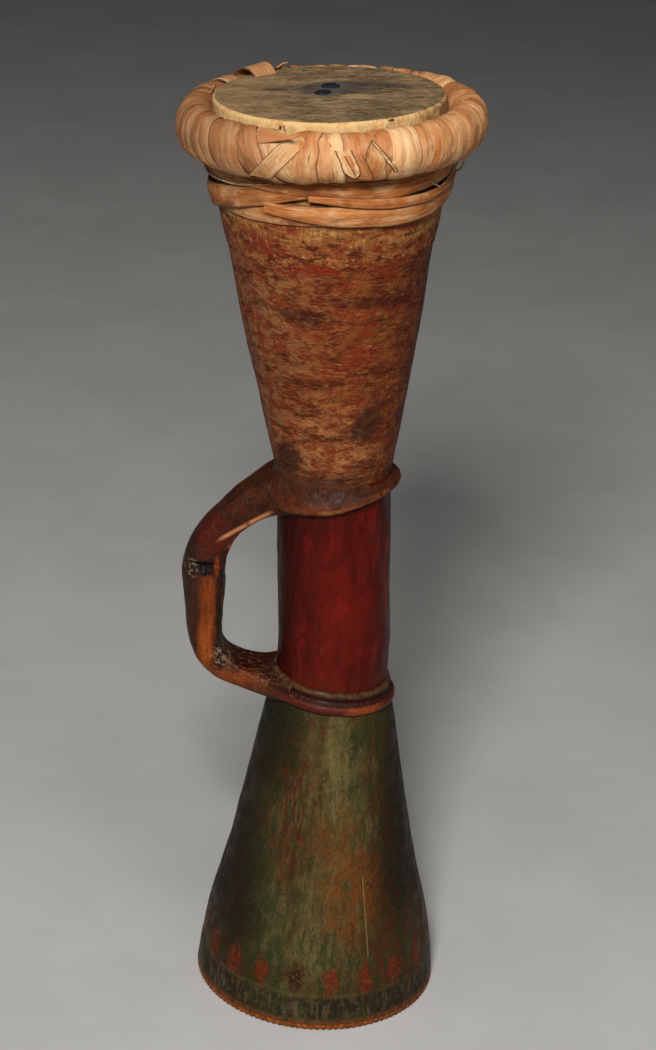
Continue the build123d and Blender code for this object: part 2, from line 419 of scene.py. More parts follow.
    def stack(self, ground: Any, layers: Iterable[tuple[Any, ...]]) -> Any:
        """Lays colours over each other.

        Args:
            ground: The lowest colour, a hex string or a socket.
            layers: Each a colour, then the masks and shares whose product shows it, lowest first.

        Returns:
            The colour socket on top.
        """
        result = linear(ground) if isinstance(ground, str) else ground
        for colour, *masks in layers:
            over = linear(colour) if isinstance(colour, str) else colour
            mix = self.add("ShaderNodeMix", {"data_type": "RGBA"}, {
                0: self.both(*masks), 6: result, 7: over,
            })
            result = mix.outputs[2]
        return result

    def surface(
        self, colour: Any, roughness: Any, relief: Sequence[tuple[Any, float]],
        constants: dict[str, Any] | None = None,
    ) -> bpy.types.Material:
        """Ends the tree in a shader.

        Args:
            colour: Base colour socket.
            roughness: Number or socket.
            relief: Pairs of a height mask and its height in millimetres.
            constants: Other shader sockets that are the same all over.

        Returns:
            The material.
        """
        shader = self.add("ShaderNodeBsdfPrincipled", links={
            "Base Color": colour, "Roughness": roughness, "Specular IOR Level": 0.12, **(constants or {}),
        })
        normal = None
        for height, depth in relief:
            bump = self.add("ShaderNodeBump", links={
                "Height": height, "Distance": abs(depth) * MM, "Strength": 1.0,
            })
            bump.invert = depth < 0
            if normal is not None:
                self.tree.links.new(normal, bump.inputs["Normal"])
            normal = bump.outputs[0]
        if normal is not None:
            self.tree.links.new(normal, shader.inputs["Normal"])
        self.add("ShaderNodeOutputMaterial", links={0: shader.outputs[0]})
        return self.material


# ---------------------------------------------------------------- finishes of the log
@dataclass(frozen=True)
class BellPaint:
    """Old oil paint over adzed hardwood: green worn through to red-brown, and a band of red ovals."""

    ovals: int = 20
    oval_first: float = -14.7
    oval_width: float = 13.5
    oval_low: float = 25.0
    oval_high: float = 49.0
    dark_oval: float = 20.0
    oval_raggedness: float = 1.1
    band_low: float = 7.4
    band_high: float = 24.5
    streak: float = 2.6
    speckle: float = 1.6

    def material(self) -> bpy.types.Material:
        """Returns the paint, dull and slightly greasy, with streaks along the grain."""
        g = Graph("worn green oil paint on carved hardwood")
        along = (1, 1, 9)
        wear = g.patches(26, 0.44, 0.62, (1, 1, 1.8), seed=3)
        streaks = g.patches(self.streak, 0.5, 0.66, along, seed=5)
        fine = g.patches(1.2, 0.35, 0.7, (1, 1, 3), seed=9)
        specks = g.patches(self.speckle, 0.64, 0.72, seed=12, detail=2)
        dark_specks = g.patches(2.2, 0.62, 0.7, (1, 1, 1.6), seed=15, detail=3)
        angle = g.add("ShaderNodeMath", {"operation": "ARCTAN2"}, {0: g.y, 1: g.x}).outputs[0]
        turns = g.add("ShaderNodeMath", {"operation": "MULTIPLY_ADD"}, {
            0: angle, 1: self.ovals / math.tau, 2: self.ovals + (90 - self.oval_first) * self.ovals / 360,
        }).outputs[0]
        wobble = g.patches(9, 0.0, 1.0, seed=20)
        shifted = g.add("ShaderNodeMath", {"operation": "MULTIPLY_ADD"}, {
            0: wobble, 1: 0.3, 2: turns,
        }).outputs[0]
        cell = g.add("ShaderNodeMath", {"operation": "FRACT"}, {0: shifted}).outputs[0]
        number = g.add("ShaderNodeMath", {"operation": "FLOOR"}, {0: shifted}).outputs[0]
        pitch = math.tau * 80 / self.ovals
        across = g.add("ShaderNodeMath", {"operation": "MULTIPLY_ADD"}, {
            0: cell, 1: 2 * pitch / self.oval_width, 2: -pitch / self.oval_width,
        }).outputs[0]
        middle = (self.oval_low + self.oval_high) / 2
        half = (self.oval_high - self.oval_low) / 2
        upward = g.add("ShaderNodeMath", {"operation": "MULTIPLY_ADD"}, {
            0: g.z, 1: 1 / (MM * half), 2: -middle / half,
        }).outputs[0]
        corner = g.add("ShaderNodeCombineXYZ", links={0: across, 1: upward}).outputs[0]
        reach = g.add("ShaderNodeVectorMath", {"operation": "LENGTH"}, {0: corner}).outputs["Value"]
        torn = g.patches(3, 0.0, 1.0, seed=23)
        edge = g.add("ShaderNodeMath", {"operation": "MULTIPLY_ADD"}, {
            0: torn, 1: self.oval_raggedness, 2: reach,
        }).outputs[0]
        oval = g.ease(edge, 1.65, 1.1)
        is_dark = g.add("ShaderNodeMath", {"operation": "COMPARE"}, {
            0: number, 1: self.dark_oval, 2: 0.5,
        }).outputs[0]
        oval_shown = g.both(oval, g.ease(g.patches(4, 0.3, 0.6, seed=27), 0.0, 0.7))
        band = g.both(g.span(g.z, self.band_low, self.band_low + 3),
                      g.span(g.z, self.band_high + 1, self.band_high - 1.5))
        line = g.both(g.span(g.z, 24.6, 25.8), g.span(g.z, 28.0, 26.4),
                      g.patches(7, 0.35, 0.6, seed=31))
        ticks = g.both(band, g.patches(2.4, 0.52, 0.62, (1, 1, 7), seed=33))
        right = g.spot((62, -50, 110), (36, 60, 150), 0.7, 0.5, 12)
        # Painted highlight: a lighter green over the front middle of the bell, where the light falls most.
        painted_front_highlight = g.spot((4, -64, 120), (44, 44, 120), 1.0, 0.5, 16)
        shade_left = g.both(g.span(g.x, -20, -56), g.span(g.z, 20, 70))
        shade_right = g.both(g.span(g.x, 26, 54), g.span(g.z, 50, 100))
        streaky = g.patches(5, 0.46, 0.6, (1, 1, 5), seed=84)
        foot_edge = g.both(g.span(g.z, 9, 6.4), g.patches(4, 0.36, 0.58, (1, 1, 2), seed=88))
        patch = g.either(g.spot((26, -66, 100), (26, 30, 30), 1.0, 0.8, 9),
                         g.both(g.spot((10, -60, 142), (12, 24, 22), 1.0, 0.6, 7), 0.7))
        pale_top = g.spot((7, -44, 196), (9, 20, 42), 0.8, 0.9, 6)
        brown_left = g.spot((-20, -54, 160), (18, 30, 62), 0.8, 0.8, 8)
        edge_left = g.spot((-70, -20, 70), (24, 60, 150), 0.8, 0.5, 12)
        # Painted shade: near black over the top left of the bell, below the handle.
        painted_shade_top_left = g.spot((-34, -30, 205), (20, 30, 40), 0.8, 0.4, 9)
        colour = g.stack("2a270d", (
            ("3e3716", g.patches(16, 0.42, 0.66, (1, 1, 2.2), seed=40), 0.85),
            ("1d230a", g.patches(9, 0.5, 0.7, (1, 1, 2), seed=43), 0.8),
            ("5f5430", painted_front_highlight, g.patches(9, 0.3, 0.62, (1, 1, 2.4), seed=79), 0.8),
            ("43270f", wear, 0.5),
            ("4c2e11", brown_left, g.patches(9, 0.36, 0.6, (1, 1, 3), seed=81), 0.7),
            ("1c2a0b", streaky, 0.6),
            ("40200a", right, g.patches(7, 0.42, 0.6, (1, 1, 3), seed=46), 0.9),
            ("66360f", patch, g.patches(12, 0.3, 0.56, (1, 1, 1.6), seed=86), 0.85),
            ("6f6238", pale_top, g.patches(7, 0.25, 0.65, (1, 1, 4), seed=49), 0.55),
            ("151104", painted_shade_top_left, 0.75),
            ("401605", edge_left, g.patches(5, 0.4, 0.6, (1, 1, 3), seed=52), 0.8),
            ("4d1b06", streaks, g.either(brown_left, right, g.patches(30, 0.5, 0.6, seed=55)), 0.8),
            ("171605", fine, 0.45),
            ("564f29", specks, 0.5),
            ("110c04", dark_specks, 0.65),
            ("5c1c08", oval_shown, 0.85),
            ("26160b", oval_shown, is_dark),
            ("6b3a18", oval_shown, g.patches(3.2, 0.55, 0.62, seed=58), 0.7),
            ("18120c", band, g.patches(8, 0.3, 0.55, (2, 2, 1), seed=76), 0.75),
            ("423727", band, g.patches(5, 0.5, 0.68, seed=61), 0.8),
            ("5a4b31", ticks, 0.45),
            ("504326", line, 0.4),
            ("63331a", foot_edge, 0.8),
            ("080803", shade_left, 0.7),
            ("0a0602", shade_right, 0.75),
        ))
        pulled = g.both(g.spot((-20, -54, 155), (9, 30, 44), 0.6, 0.7, 5),
                        g.patches(2.0, 0.48, 0.6, (1, 1, 16), seed=73))
        colour = g.stack(colour, (("3a1009", pulled, 0.8),))
        scratch = g.both(g.line((0.99, 0.137), 44.75, 0.9), g.span(g.z, 50, 56),
                         g.span(g.z, 112, 106), g.span(g.y, -30, -40))
        colour = g.stack(colour, (("7a6a42", scratch, 0.7),))
        shine = g.ease(g.patches(12, 0.3, 0.7, seed=64), 0.0, 1.0, 0.25)
        roughness = g.add("ShaderNodeMath", {"operation": "ADD"}, {0: shine, 1: 0.42}).outputs[0]
        relief = (
            (g.patches(1.6, 0.2, 0.8, along, seed=66), 0.25),
            (g.patches(4, 0.3, 0.7, (1, 1, 2), seed=70), 0.4),
            (oval, 0.3),
            (scratch, -0.6),
        )
        return g.surface(colour, roughness, relief)


@dataclass(frozen=True)
class WaistPaint:
    """Thick dark red oil paint round the waist, rubbed smooth by hands and blackened at its ends."""

    low: float = 240.0
    worn_length: float = 22.0

    def material(self) -> bpy.types.Material:
        """Returns the paint, half glossy, with faint upright brush marks."""
        g = Graph("rubbed dark red oil paint")
        streaks = g.patches(2.2, 0.42, 0.7, (1, 1, 14), seed=4)
        cloud = g.patches(18, 0.35, 0.68, (1, 1, 2), seed=8)
        specks = g.patches(1.5, 0.66, 0.72, seed=11, detail=2)
        green = g.patches(2.6, 0.6, 0.72, (1, 1, 4), seed=14)
        low_end = g.span(g.z, self.low + self.worn_length, self.low)
        # Painted shade: the waist darkens towards the handle side.
        left = g.span(g.x, -20, -38)
        # Painted highlight: a brighter red band down the front middle of the waist, standing for a sheen.
        bright = g.spot((6, -36, 300), (17, 30, 78), 1.0, 0.4, 14)
        colour = g.stack("3d0501", (
            ("580c02", bright, 0.8),
            ("2b0100", cloud, 0.7),
            ("6a1004", g.patches(13, 0.5, 0.66, (1, 1, 2.4), seed=30), 0.6),
            ("561104", streaks, 0.5),
            ("3f1404", green, 0.55),
            ("220100", left, 0.9),
            ("481404", low_end, g.patches(4, 0.42, 0.6, seed=17), 0.75),
            ("6e2108", specks, g.either(low_end, 0.35), 0.8),
        ))
        roughness = g.ease(g.patches(9, 0.2, 0.8, (1, 1, 3), seed=21), -0.9, 1.2, 0.62)
        relief = (
            (g.patches(1.8, 0.2, 0.8, (1, 1, 14), seed=24), 0.18),
            (g.patches(5, 0.3, 0.7, (1, 1, 2), seed=27), 0.3),
        )
        return g.surface(colour, roughness, relief)


@dataclass(frozen=True)
class CupWood:
    """Hand-worn hardwood of the cup: brown with old red paint in streaks and a burnt mark."""

    def material(self) -> bpy.types.Material:
        """Returns the wood, dull, mottled at every scale."""
        g = Graph("worn hardwood with old red ochre")
        bands = g.patches(7, 0.42, 0.6, (4, 4, 1), seed=4)
        mottle = g.patches(5, 0.42, 0.6, (1.6, 1.6, 1), seed=6)
        fine = g.patches(1.7, 0.4, 0.7, (1.6, 1.6, 1), seed=8, detail=3)
        knife = g.patches(0.9, 0.5, 0.62, (7, 7, 1), seed=10, detail=2)
        red = g.patches(12, 0.46, 0.6, (2, 2, 1), seed=12)
        dark = g.patches(9, 0.5, 0.64, (3, 3, 1), seed=20)
        dark_small = g.patches(3, 0.56, 0.66, (1.4, 1.4, 1), seed=22)
        red_bar = g.either(g.spot((-26, -64, 545), (17, 30, 3.4), 0.7, 0.8, 4),
                           g.spot((24, -66, 570), (34, 30, 4.0), 0.7, 0.9, 4),
                           g.both(g.spot((2, -54, 484), (8, 30, 6), 1.2, 1.2, 3), 0.6))
        dark_bar = g.either(g.spot((22, -60, 522), (30, 30, 4), 0.8, 0.9, 5),
                            g.spot((-30, -50, 512), (20, 30, 4), 0.8, 0.9, 5))
        pale_low = g.spot((-14, -40, 412), (30, 30, 40), 0.9, 0.8, 9)
        pale_top = g.span(g.z, 540, 575)
        burnt = g.spot((13, -46, 436), (11, 20, 12), 1.0, 1.0, 5)
        burnt_edge = g.spot((-37, -30, 406), (8, 30, 12), 1.0, 0.9, 5)
        # Painted shade: the cup darkens towards its right side.
        right = g.span(g.x, 8, 54)
        colour = g.stack("4f1d05", (
            ("6f3214", bands, 0.75),
            ("5a220a", g.patches(16, 0.42, 0.62, (1.6, 1.6, 1), seed=41), 0.6),
            ("814b1d", mottle, 0.6),
            ("6a1c08", red, 0.7),
            ("925827", pale_top, mottle, 0.9),
            ("986238", pale_low, g.either(g.both(fine, 0.7), mottle), 0.75),
            # Painted light: paler beige mottles over the cup's left side.
            ("7d5c3c", g.span(g.x, -6, -58), mottle, 0.5),
            ("401304", right, 0.6),
            ("330d03", dark, 0.75),
            ("a0683a", fine, knife, 0.6),
            ("8d4317", knife, 0.3),
            ("2b0c04", dark_small, 0.5),
            ("701303", red_bar, g.patches(4, 0.3, 0.55, (3, 3, 1), seed=37), 0.8),
            ("2f0b04", dark_bar, 0.7),
            ("190b04", burnt, 0.75),
            ("110703", burnt_edge, 0.8),
        ))
        collar_shade = g.both(g.span(g.z, 408, 392), g.patches(4, 0.3, 0.55, (2, 2, 1), seed=26))
        colour = g.stack(colour, (("391d0d", collar_shade, 0.75),))
        shine = g.ease(g.patches(10, 0.3, 0.7, seed=28), 0.0, 1.0, 0.25)
        roughness = g.add("ShaderNodeMath", {"operation": "ADD"}, {0: shine, 1: 0.42}).outputs[0]
        relief = ((fine, 0.22), (knife, 0.25), (bands, 0.4), (g.patches(4.5, 0.3, 0.7, seed=34), 0.5))
        return g.surface(colour, roughness, relief)


@dataclass(frozen=True)
class BareBore:
    """Charred and scraped inside of the log, which was burnt out and never finished."""

    grain: float = 1.8

    def material(self) -> bpy.types.Material:
        """Returns the wood: dry, dark, with long upright scrape marks."""
        g = Graph("scraped bare hardwood inside")
        scrape = g.patches(self.grain, 0.4, 0.65, (1, 1, 18), seed=2)
        colour = g.stack("4a3120", (
            ("2a1a10", g.patches(14, 0.45, 0.65, (1, 1, 3), seed=5)),
            ("6b4a30", scrape, 0.6),
            ("15100c", g.patches(22, 0.55, 0.7, seed=9), 0.8),
        ))
        return g.surface(colour, 0.85, ((scrape, 0.5), (g.patches(6, 0.3, 0.7, seed=12), 0.7)))


@dataclass(frozen=True)
class HandleWood:
    """Handle and collars: hardwood polished by the hand, red-brown, black in the hollows."""

    ledge_slope: float = 0.075
    ring_slope: float = -0.2

    def material(self) -> bpy.types.Material:
        """Returns the wood, oily and half glossy, with worn orange edges."""
        g = Graph("hand polished red brown hardwood")
        grain = g.patches(2.0, 0.4, 0.68, (1, 1, 6), seed=3)
        cloud = g.patches(10, 0.4, 0.62, seed=6)
        grip = g.spot((-88, -12, 272), (14, 22, 44), 0.6, 0.3, 8)
        grip_shade = g.spot((-99, -6, 280), (8, 24, 70), 0.7, 0.3, 8)
        inner_shade = g.spot((-77, -4, 280), (5.5, 26, 48), 0.6, 0.2, 6)
        elbow = g.spot((-88, -12, 338), (20, 30, 16), 0.8, 0.5, 8)
        arm_top = g.spot((-48, -10, 376), (34, 40, 12), 0.8, 0.5, 8)
        # Painted shade: the carved pit at the elbow is coloured near black.
        pit = g.spot((-90, -15, 315), (9, 8, 6), 0.6, 0.5, 4)
        pit_edge = g.spot((-97, -12, 314), (7, 8, 7), 0.7, 0.6, 3)
        sliver = g.spot((-81.5, -15, 317), (1.7, 6, 7.5), 0.6, 0.4, 3)
        shelf = g.spot((-50, 0, 243), (36, 34, 6.5), 0.7, 0.3, 6)
        lower = g.spot((-66, -22, 233), (24, 16, 9), 0.7, 0.4, 6)
        olive = g.spot((-46, -30, 229), (20, 16, 8), 0.7, 0.4, 6)
        crumbs = g.both(g.either(g.spot((-76, -8, 250), (8, 14, 8), 0.6, 0.4, 4),
                                 g.spot((-42, -22, 242), (10, 14, 7), 0.6, 0.4, 4)),
                        g.patches(2.2, 0.5, 0.6, seed=9))
        upper_ring = g.span(g.z, 366, 372)
        near_waist = g.span(g.x, -52, -34)
        collar = g.both(upper_ring, near_waist)
        ledge_level, ring_level = (
            g.add("ShaderNodeMath", {"operation": "MULTIPLY_ADD"}, {0: g.x, 1: slope, 2: g.z}).outputs[0]
            for slope in (self.ledge_slope, self.ring_slope)
        )
        low_ring = g.both(g.span(g.z, 250, 244), near_waist)
        groove = g.both(low_ring, g.span(ledge_level, 230.8, 232.4),
                        g.span(ledge_level, 236.8, 235.2))
        ledge = g.both(low_ring, g.span(ledge_level, 235.4, 237.0))
        bead = g.both(low_ring, g.span(ledge_level, 231.6, 230.2))
        # Painted highlight: a bright orange line along the front of the lower bead.
        bead_painted_highlight = g.both(bead, g.spot((24, -36, 229), (14, 14, 8), 0.9, 0.4, 5))
        # Painted shade: dark brown under the lower bead.
        under = g.both(low_ring, g.span(ledge_level, 226.6, 224.4))
        scratches = g.both(shelf, g.patches(1.5, 0.56, 0.64, (5, 1.2, 1), seed=47, detail=3))
        front_ring = g.both(collar, g.span(g.z, 384, 376), g.patches(9, 0.3, 0.55, seed=50))
        # Painted highlight: a pale pink line along the lower front edge of the upper arm.
        arm_edge_painted_highlight = g.both(g.line((-0.592, 0.806), 319.4, 2.2), g.span(g.x, -84, -76),
                          g.span(g.x, -44, -52), g.span(g.y, -6, -10))
        # Painted highlight: a brighter orange streak down the front of the grip, broken by grain.
        grip_painted_highlight = g.spot((-86, -13, 266), (5, 14, 32), 0.9, 0.4, 6)
        # Painted highlight: a pale orange line along the upper collar's ridge.
        ridge_painted_highlight = g.both(collar, g.span(ring_level, 372, 374), g.span(ring_level, 378, 375.5),
                           g.patches(12, 0.4, 0.6, (3, 3, 1), seed=53))
        over_ring = g.both(collar, g.span(ring_level, 378, 381))
        worn_out = g.add("ShaderNodeAttribute", {"attribute_name": "worn"}).outputs["Fac"]
        ridge = g.either(g.spot((-62, -16, 348), (34, 24, 24), 0.7, 0.2, 6),
                         g.spot((10, -40, 376), (40, 30, 16), 0.7, 0.2, 6))
        worn = g.both(g.ease(worn_out, 0.03, 0.12), g.patches(5, 0.35, 0.6, seed=41), g.either(ridge, 0.35))
        hollow = g.ease(worn_out, -0.02, -0.1)
        to_cup = g.both(near_waist, g.span(g.z, 383, 394))
        colour = g.stack("2a0f03", (
            ("451a06", cloud, 0.7),
            ("461104", elbow, 0.8),
            ("47240c", arm_top, g.patches(6, 0.42, 0.6, seed=12), 0.7),
            ("6b2a05", grip, 0.95),
            ("21140a", grip_shade, 0.85),
            ("080201", inner_shade, 0.95),
            ("2b0602", shelf, 0.85),
            ("7a3610", lower, 0.75),
            ("38280d", olive, 0.6),
            ("4a1d08", collar, g.patches(7, 0.4, 0.62, seed=15), 0.8),
            ("200903", grain, 0.5),
            ("070302", pit, 0.95),
            ("6b5841", pit_edge, g.patches(2.0, 0.55, 0.62, (2, 2, 1), seed=18), 0.9),
            ("6b2b07", sliver, 0.8),
            ("7a6848", crumbs, 0.7),
            ("4a1407", bead, 0.85),
            ("7a3410", bead_painted_highlight, 0.8),
            ("270703", groove, 0.9),
            ("40311b", ledge, g.patches(5, 0.36, 0.6, seed=21), 0.9),
            ("380802", ledge, g.patches(5, 0.56, 0.66, seed=24), 0.9),
            ("1c1408", under, 0.8),
            ("6b5a40", scratches, 0.6),
            ("5e2a0f", front_ring, 0.7),
            ("2b1409", over_ring, g.patches(8, 0.3, 0.6, (2, 2, 1), seed=56), 0.75),
            ("8a5226", ridge_painted_highlight, 0.75),
            ("b4754c", arm_edge_painted_highlight, g.patches(5, 0.25, 0.5, seed=58), 0.85),
            ("86400c", grip_painted_highlight, g.patches(2.6, 0.36, 0.62, (1, 1, 7), seed=60), 0.65),
            ("4c2a14", to_cup, g.patches(5, 0.36, 0.6, (2, 2, 1), seed=44), 0.9),
            ("0e0604", hollow, 0.7),
            ("8f4a22", worn, 0.85),
        ))
        dull = g.ease(g.patches(8, 0.2, 0.8, seed=27), -1.0, 1.3, 0.6)
        roughness = g.add("ShaderNodeMath", {"operation": "MULTIPLY_ADD"}, {
            0: worn, 1: -0.12, 2: dull,
        }).outputs[0]
        relief = (
            (g.patches(1.6, 0.2, 0.8, (1, 1, 6), seed=30), 0.22),
            (g.patches(4.5, 0.3, 0.7, seed=33), 0.45),
        )
        return g.surface(colour, roughness, relief, {
            "Specular IOR Level": 0.14, "Coat Weight": 0.04, "Coat Roughness": 0.18,
        })


# ---------------------------------------------------------------- finishes of the head and the bindings
@dataclass(frozen=True)
class Rawhide:
    """Goat or lizard rawhide, scraped and dried on the drum: one skin, three states of wear."""

    def head(self) -> bpy.types.Material:
        """Returns the beaten disc: grey-brown, greasy in the middle, with a dark cloud round the wax."""
        g = Graph("scraped rawhide head")
        clouds = g.patches(15, 0.42, 0.58, (1.7, 1, 1), seed=2)
        streaks = g.patches(4.5, 0.42, 0.66, (4.5, 1, 1), seed=5)
        fine = g.patches(1.6, 0.4, 0.7, (2.4, 1, 1), seed=8)
        pores = g.patches(0.9, 0.6, 0.72, seed=11, detail=2)
        smear = g.either(g.spot((-26, 11, 640), (26, 13, 20), 1.0, 0.6, 9),
                         g.spot((-4, 20, 640), (26, 9, 20), 1.0, 0.6, 7))
        halo = g.either(g.spot((-24, 17, 640), (11, 11, 20), 0.8, 0.4, 4),
                        g.spot((-28, 1, 640), (10, 9, 20), 0.8, 0.4, 4))
        dash = g.spot((-60, 9, 640), (9, 2.2, 20), 0.7, 0.6, 4)
        left = g.span(g.x, -40, -88)
        ochre = g.patches(13, 0.5, 0.68, (2.2, 1, 1), seed=14)
        blotch = g.patches(8, 0.48, 0.58, (1.8, 1, 1), seed=26)
        colour = g.stack("4c3b25", (
            ("7e6549", clouds, 0.85),
            ("80603a", ochre, 0.7),
            ("40311f", streaks, 0.7),
            ("3f3424", blotch, 0.6),
            ("8c6c44", left, 0.35),
            ("9a8262", fine, 0.5),
            ("393230", smear, 0.75),
            ("26262a", smear, g.patches(5, 0.45, 0.62, (2.5, 1, 1), seed=17), 0.8),
            ("4c4641", halo, 0.8),
            ("1b1b1f", dash, 0.8),
            ("9a7e59", g.spot((-8, -8, 640), (9, 6, 20), 0.7, 0.6, 4), 0.6),
            ("352617", pores, 0.5),
        ))
        relief = (
            (g.patches(2.0, 0.2, 0.8, (2, 1, 1), seed=20), 0.16),
            (g.patches(9, 0.25, 0.75, (1.6, 1, 1), seed=23), 0.5),
        )
        return g.surface(colour, 0.62, relief)

    def edge(self) -> bpy.types.Material:
        """Returns the turned-down side, clean and cream where hands never reach, nicked with dark dirt."""
        g = Graph("clean rawhide turned over the rim")
        runs = g.patches(3, 0.4, 0.68, (1, 1, 3), seed=2)
        amber = g.patches(14, 0.46, 0.66, (1, 1, 0.6), seed=5)
        dirt = g.patches(2.4, 0.66, 0.72, (2, 2, 1), seed=8, detail=3)
        nick_left = g.spot((-52, -68, 632), (2.2, 5, 3), 0.5, 0.6, 1.5)
        nick_right = g.spot((14, -66, 641), (3.0, 6, 1.3), 0.5, 0.6, 1.5)
        right = g.span(g.x, 10, 50)
        colour = g.stack("b3905e", (
            ("a3713a", amber, 0.75),
            ("c4a676", runs, 0.55),
            ("6a4427", right, g.patches(9, 0.4, 0.6, seed=11), 0.8),
            ("6f401f", dirt, 0.7),
            ("170d08", nick_left, g.patches(1.6, 0.4, 0.5, seed=14)),
            ("170d08", nick_right),
        ))
        return g.surface(colour, 0.55, ((runs, 0.2), (g.patches(7, 0.3, 0.7, seed=17), 0.4)))

    def skirt(self) -> bpy.types.Material:
        """Returns the skirt pulled down over the cup: tan above, red with old paint at its torn hem."""
        g = Graph("stretched rawhide skirt with red paint")
        pulls = g.patches(2.2, 0.42, 0.66, (1, 1, 5), seed=2)
        mottle = g.patches(5, 0.42, 0.6, (1.8, 1.8, 1), seed=5)
        low = g.span(g.z, 572, 556)
        ragged = g.both(low, g.patches(8, 0.42, 0.56, (1.6, 1.6, 1), seed=8))
        dark = g.both(g.span(g.z, 580, 566), g.patches(5, 0.52, 0.62, (2.2, 2.2, 1), seed=11))
        red_bar = g.either(g.spot((26, -66, 573), (32, 30, 5), 0.7, 0.9, 4),
                           g.spot((-48, -52, 572), (16, 30, 7), 0.7, 0.9, 4))
        colour = g.stack("855326", (
            ("a87842", mottle, 0.8),
            ("6e3918", pulls, 0.5),
            ("743d1c", low, 0.7),
            ("651b09", ragged, 0.85),
            ("3a1408", dark, 0.8),
            ("671205", red_bar, g.patches(4, 0.3, 0.55, (3, 3, 1), seed=31), 0.8),
            ("be9056", g.patches(1.6, 0.58, 0.68, (1.6, 1.6, 1), seed=14), 0.6),
        ))
        return g.surface(colour, 0.6, ((pulls, 0.3), (mottle, 0.3), (g.patches(6, 0.3, 0.7, seed=17), 0.5)))


@dataclass(frozen=True)
class Bast:
    """Strips of inner bark or pandanus, wound dry: silky fibres along each strip, frayed edges."""

    name: str = "split bast strip"
    ramp: tuple[tuple[float, str], ...] = (
        (0.0, "45271a"), (0.25, "73431f"), (0.45, "9c5829"), (0.62, "a36c3f"), (0.8, "b47f52"),
        (1.0, "c8a071"),
    )
    fibre: float = 0.55
    grime_and_edge_shade: str = "371e12"
    pale: str = "d2ad7f"
    rust: str = "8d4c1c"
    red: float = 0.5

    def material(self) -> bpy.types.Material:
        """Returns the strip: fibres run along its own UV map, and its edges are darkened with painted shade
        where they tuck under.
        """
        g = Graph(self.name)
        strip = g.add("ShaderNodeUVMap", {"uv_map": "strip"}).outputs[0]
        tone = g.add("ShaderNodeAttribute", {"attribute_name": "tone"}).outputs["Fac"]
        edge = g.add("ShaderNodeAttribute", {"attribute_name": "edge"}).outputs["Fac"]
        cloud = g.patches(8, 0.15, 0.85, (1, 2.4, 1), seed=2, source=strip)
        shifted = g.add("ShaderNodeMath", {"operation": "MULTIPLY_ADD"}, {
            0: cloud, 1: 0.5, 2: tone,
        }).outputs[0]
        centred = g.add("ShaderNodeMath", {"operation": "SUBTRACT"}, {0: shifted, 1: 0.25}).outputs[0]
        ramp = g.add("ShaderNodeValToRGB", links={0: centred})
        stops = ramp.color_ramp.elements
        while len(stops) < len(self.ramp):
            stops.new(0.5)
        for stop, (place, colour) in zip(stops, self.ramp):
            stop.position = place
            stop.color = linear(colour)
        fibres = g.patches(self.fibre, 0.42, 0.66, (1, 34, 1), seed=5, source=strip, detail=3, warp=0.1)
        coarse = g.patches(1.7, 0.45, 0.62, (1, 22, 1), seed=8, source=strip, detail=3, warp=0.1)
        spots = g.patches(4.5, 0.62, 0.76, (1, 2.4, 1), seed=11, source=strip)
        rusty = g.patches(7, 0.52, 0.66, (1, 4, 1), seed=14, source=strip)
        # Painted shade: each strip darkens along its edges, as between overlapping turns.
        painted_edge_shade = g.ease(edge, 0.45, 1.0)
        colour = g.stack(ramp.outputs[0], (
            ("c8a478", g.patches(11, 0.46, 0.66, (1, 1.8, 1), seed=20, source=strip), 0.4),
            (self.pale, fibres, 0.22),
            (self.rust, coarse, 0.2),
            (self.rust, rusty, self.red),
            (self.grime_and_edge_shade, spots, 0.7),
            (self.grime_and_edge_shade, painted_edge_shade, 0.9),
            # Painted shade: a greyish brown over the left side of the ring.
            ("63432c", g.span(g.x, -30, -92), g.span(g.z, 604, 614), 0.5),
        ))
        waves = g.patches(5, 0.3, 0.7, (1, 2, 1), seed=17, source=strip)
        relief = ((fibres, 0.1), (coarse, 0.14), (waves, 0.4))
        return g.surface(colour, 0.5, relief)


@dataclass(frozen=True)
class Plain:
    """A small or hidden finish of one fibre or lump: its name, two colours, grain size and roughness."""

    name: str
    ground: str
    over: str
    grain: float
    roughness: float
    stretch: tuple[float, float, float] = (1, 1, 1)
    relief: float = 0.3

    def material(self) -> bpy.types.Material:
        """Returns the finish, mottled at its own grain."""
        g = Graph(self.name)
        mottle = g.patches(self.grain, 0.4, 0.62, self.stretch, seed=3)
        specks = g.patches(self.grain / 3, 0.6, 0.7, self.stretch, seed=7)
        colour = g.stack(self.ground, ((self.over, mottle), (self.ground, specks, 0.6)))
        return g.surface(colour, self.roughness, ((mottle, self.relief), (specks, self.relief / 2)))


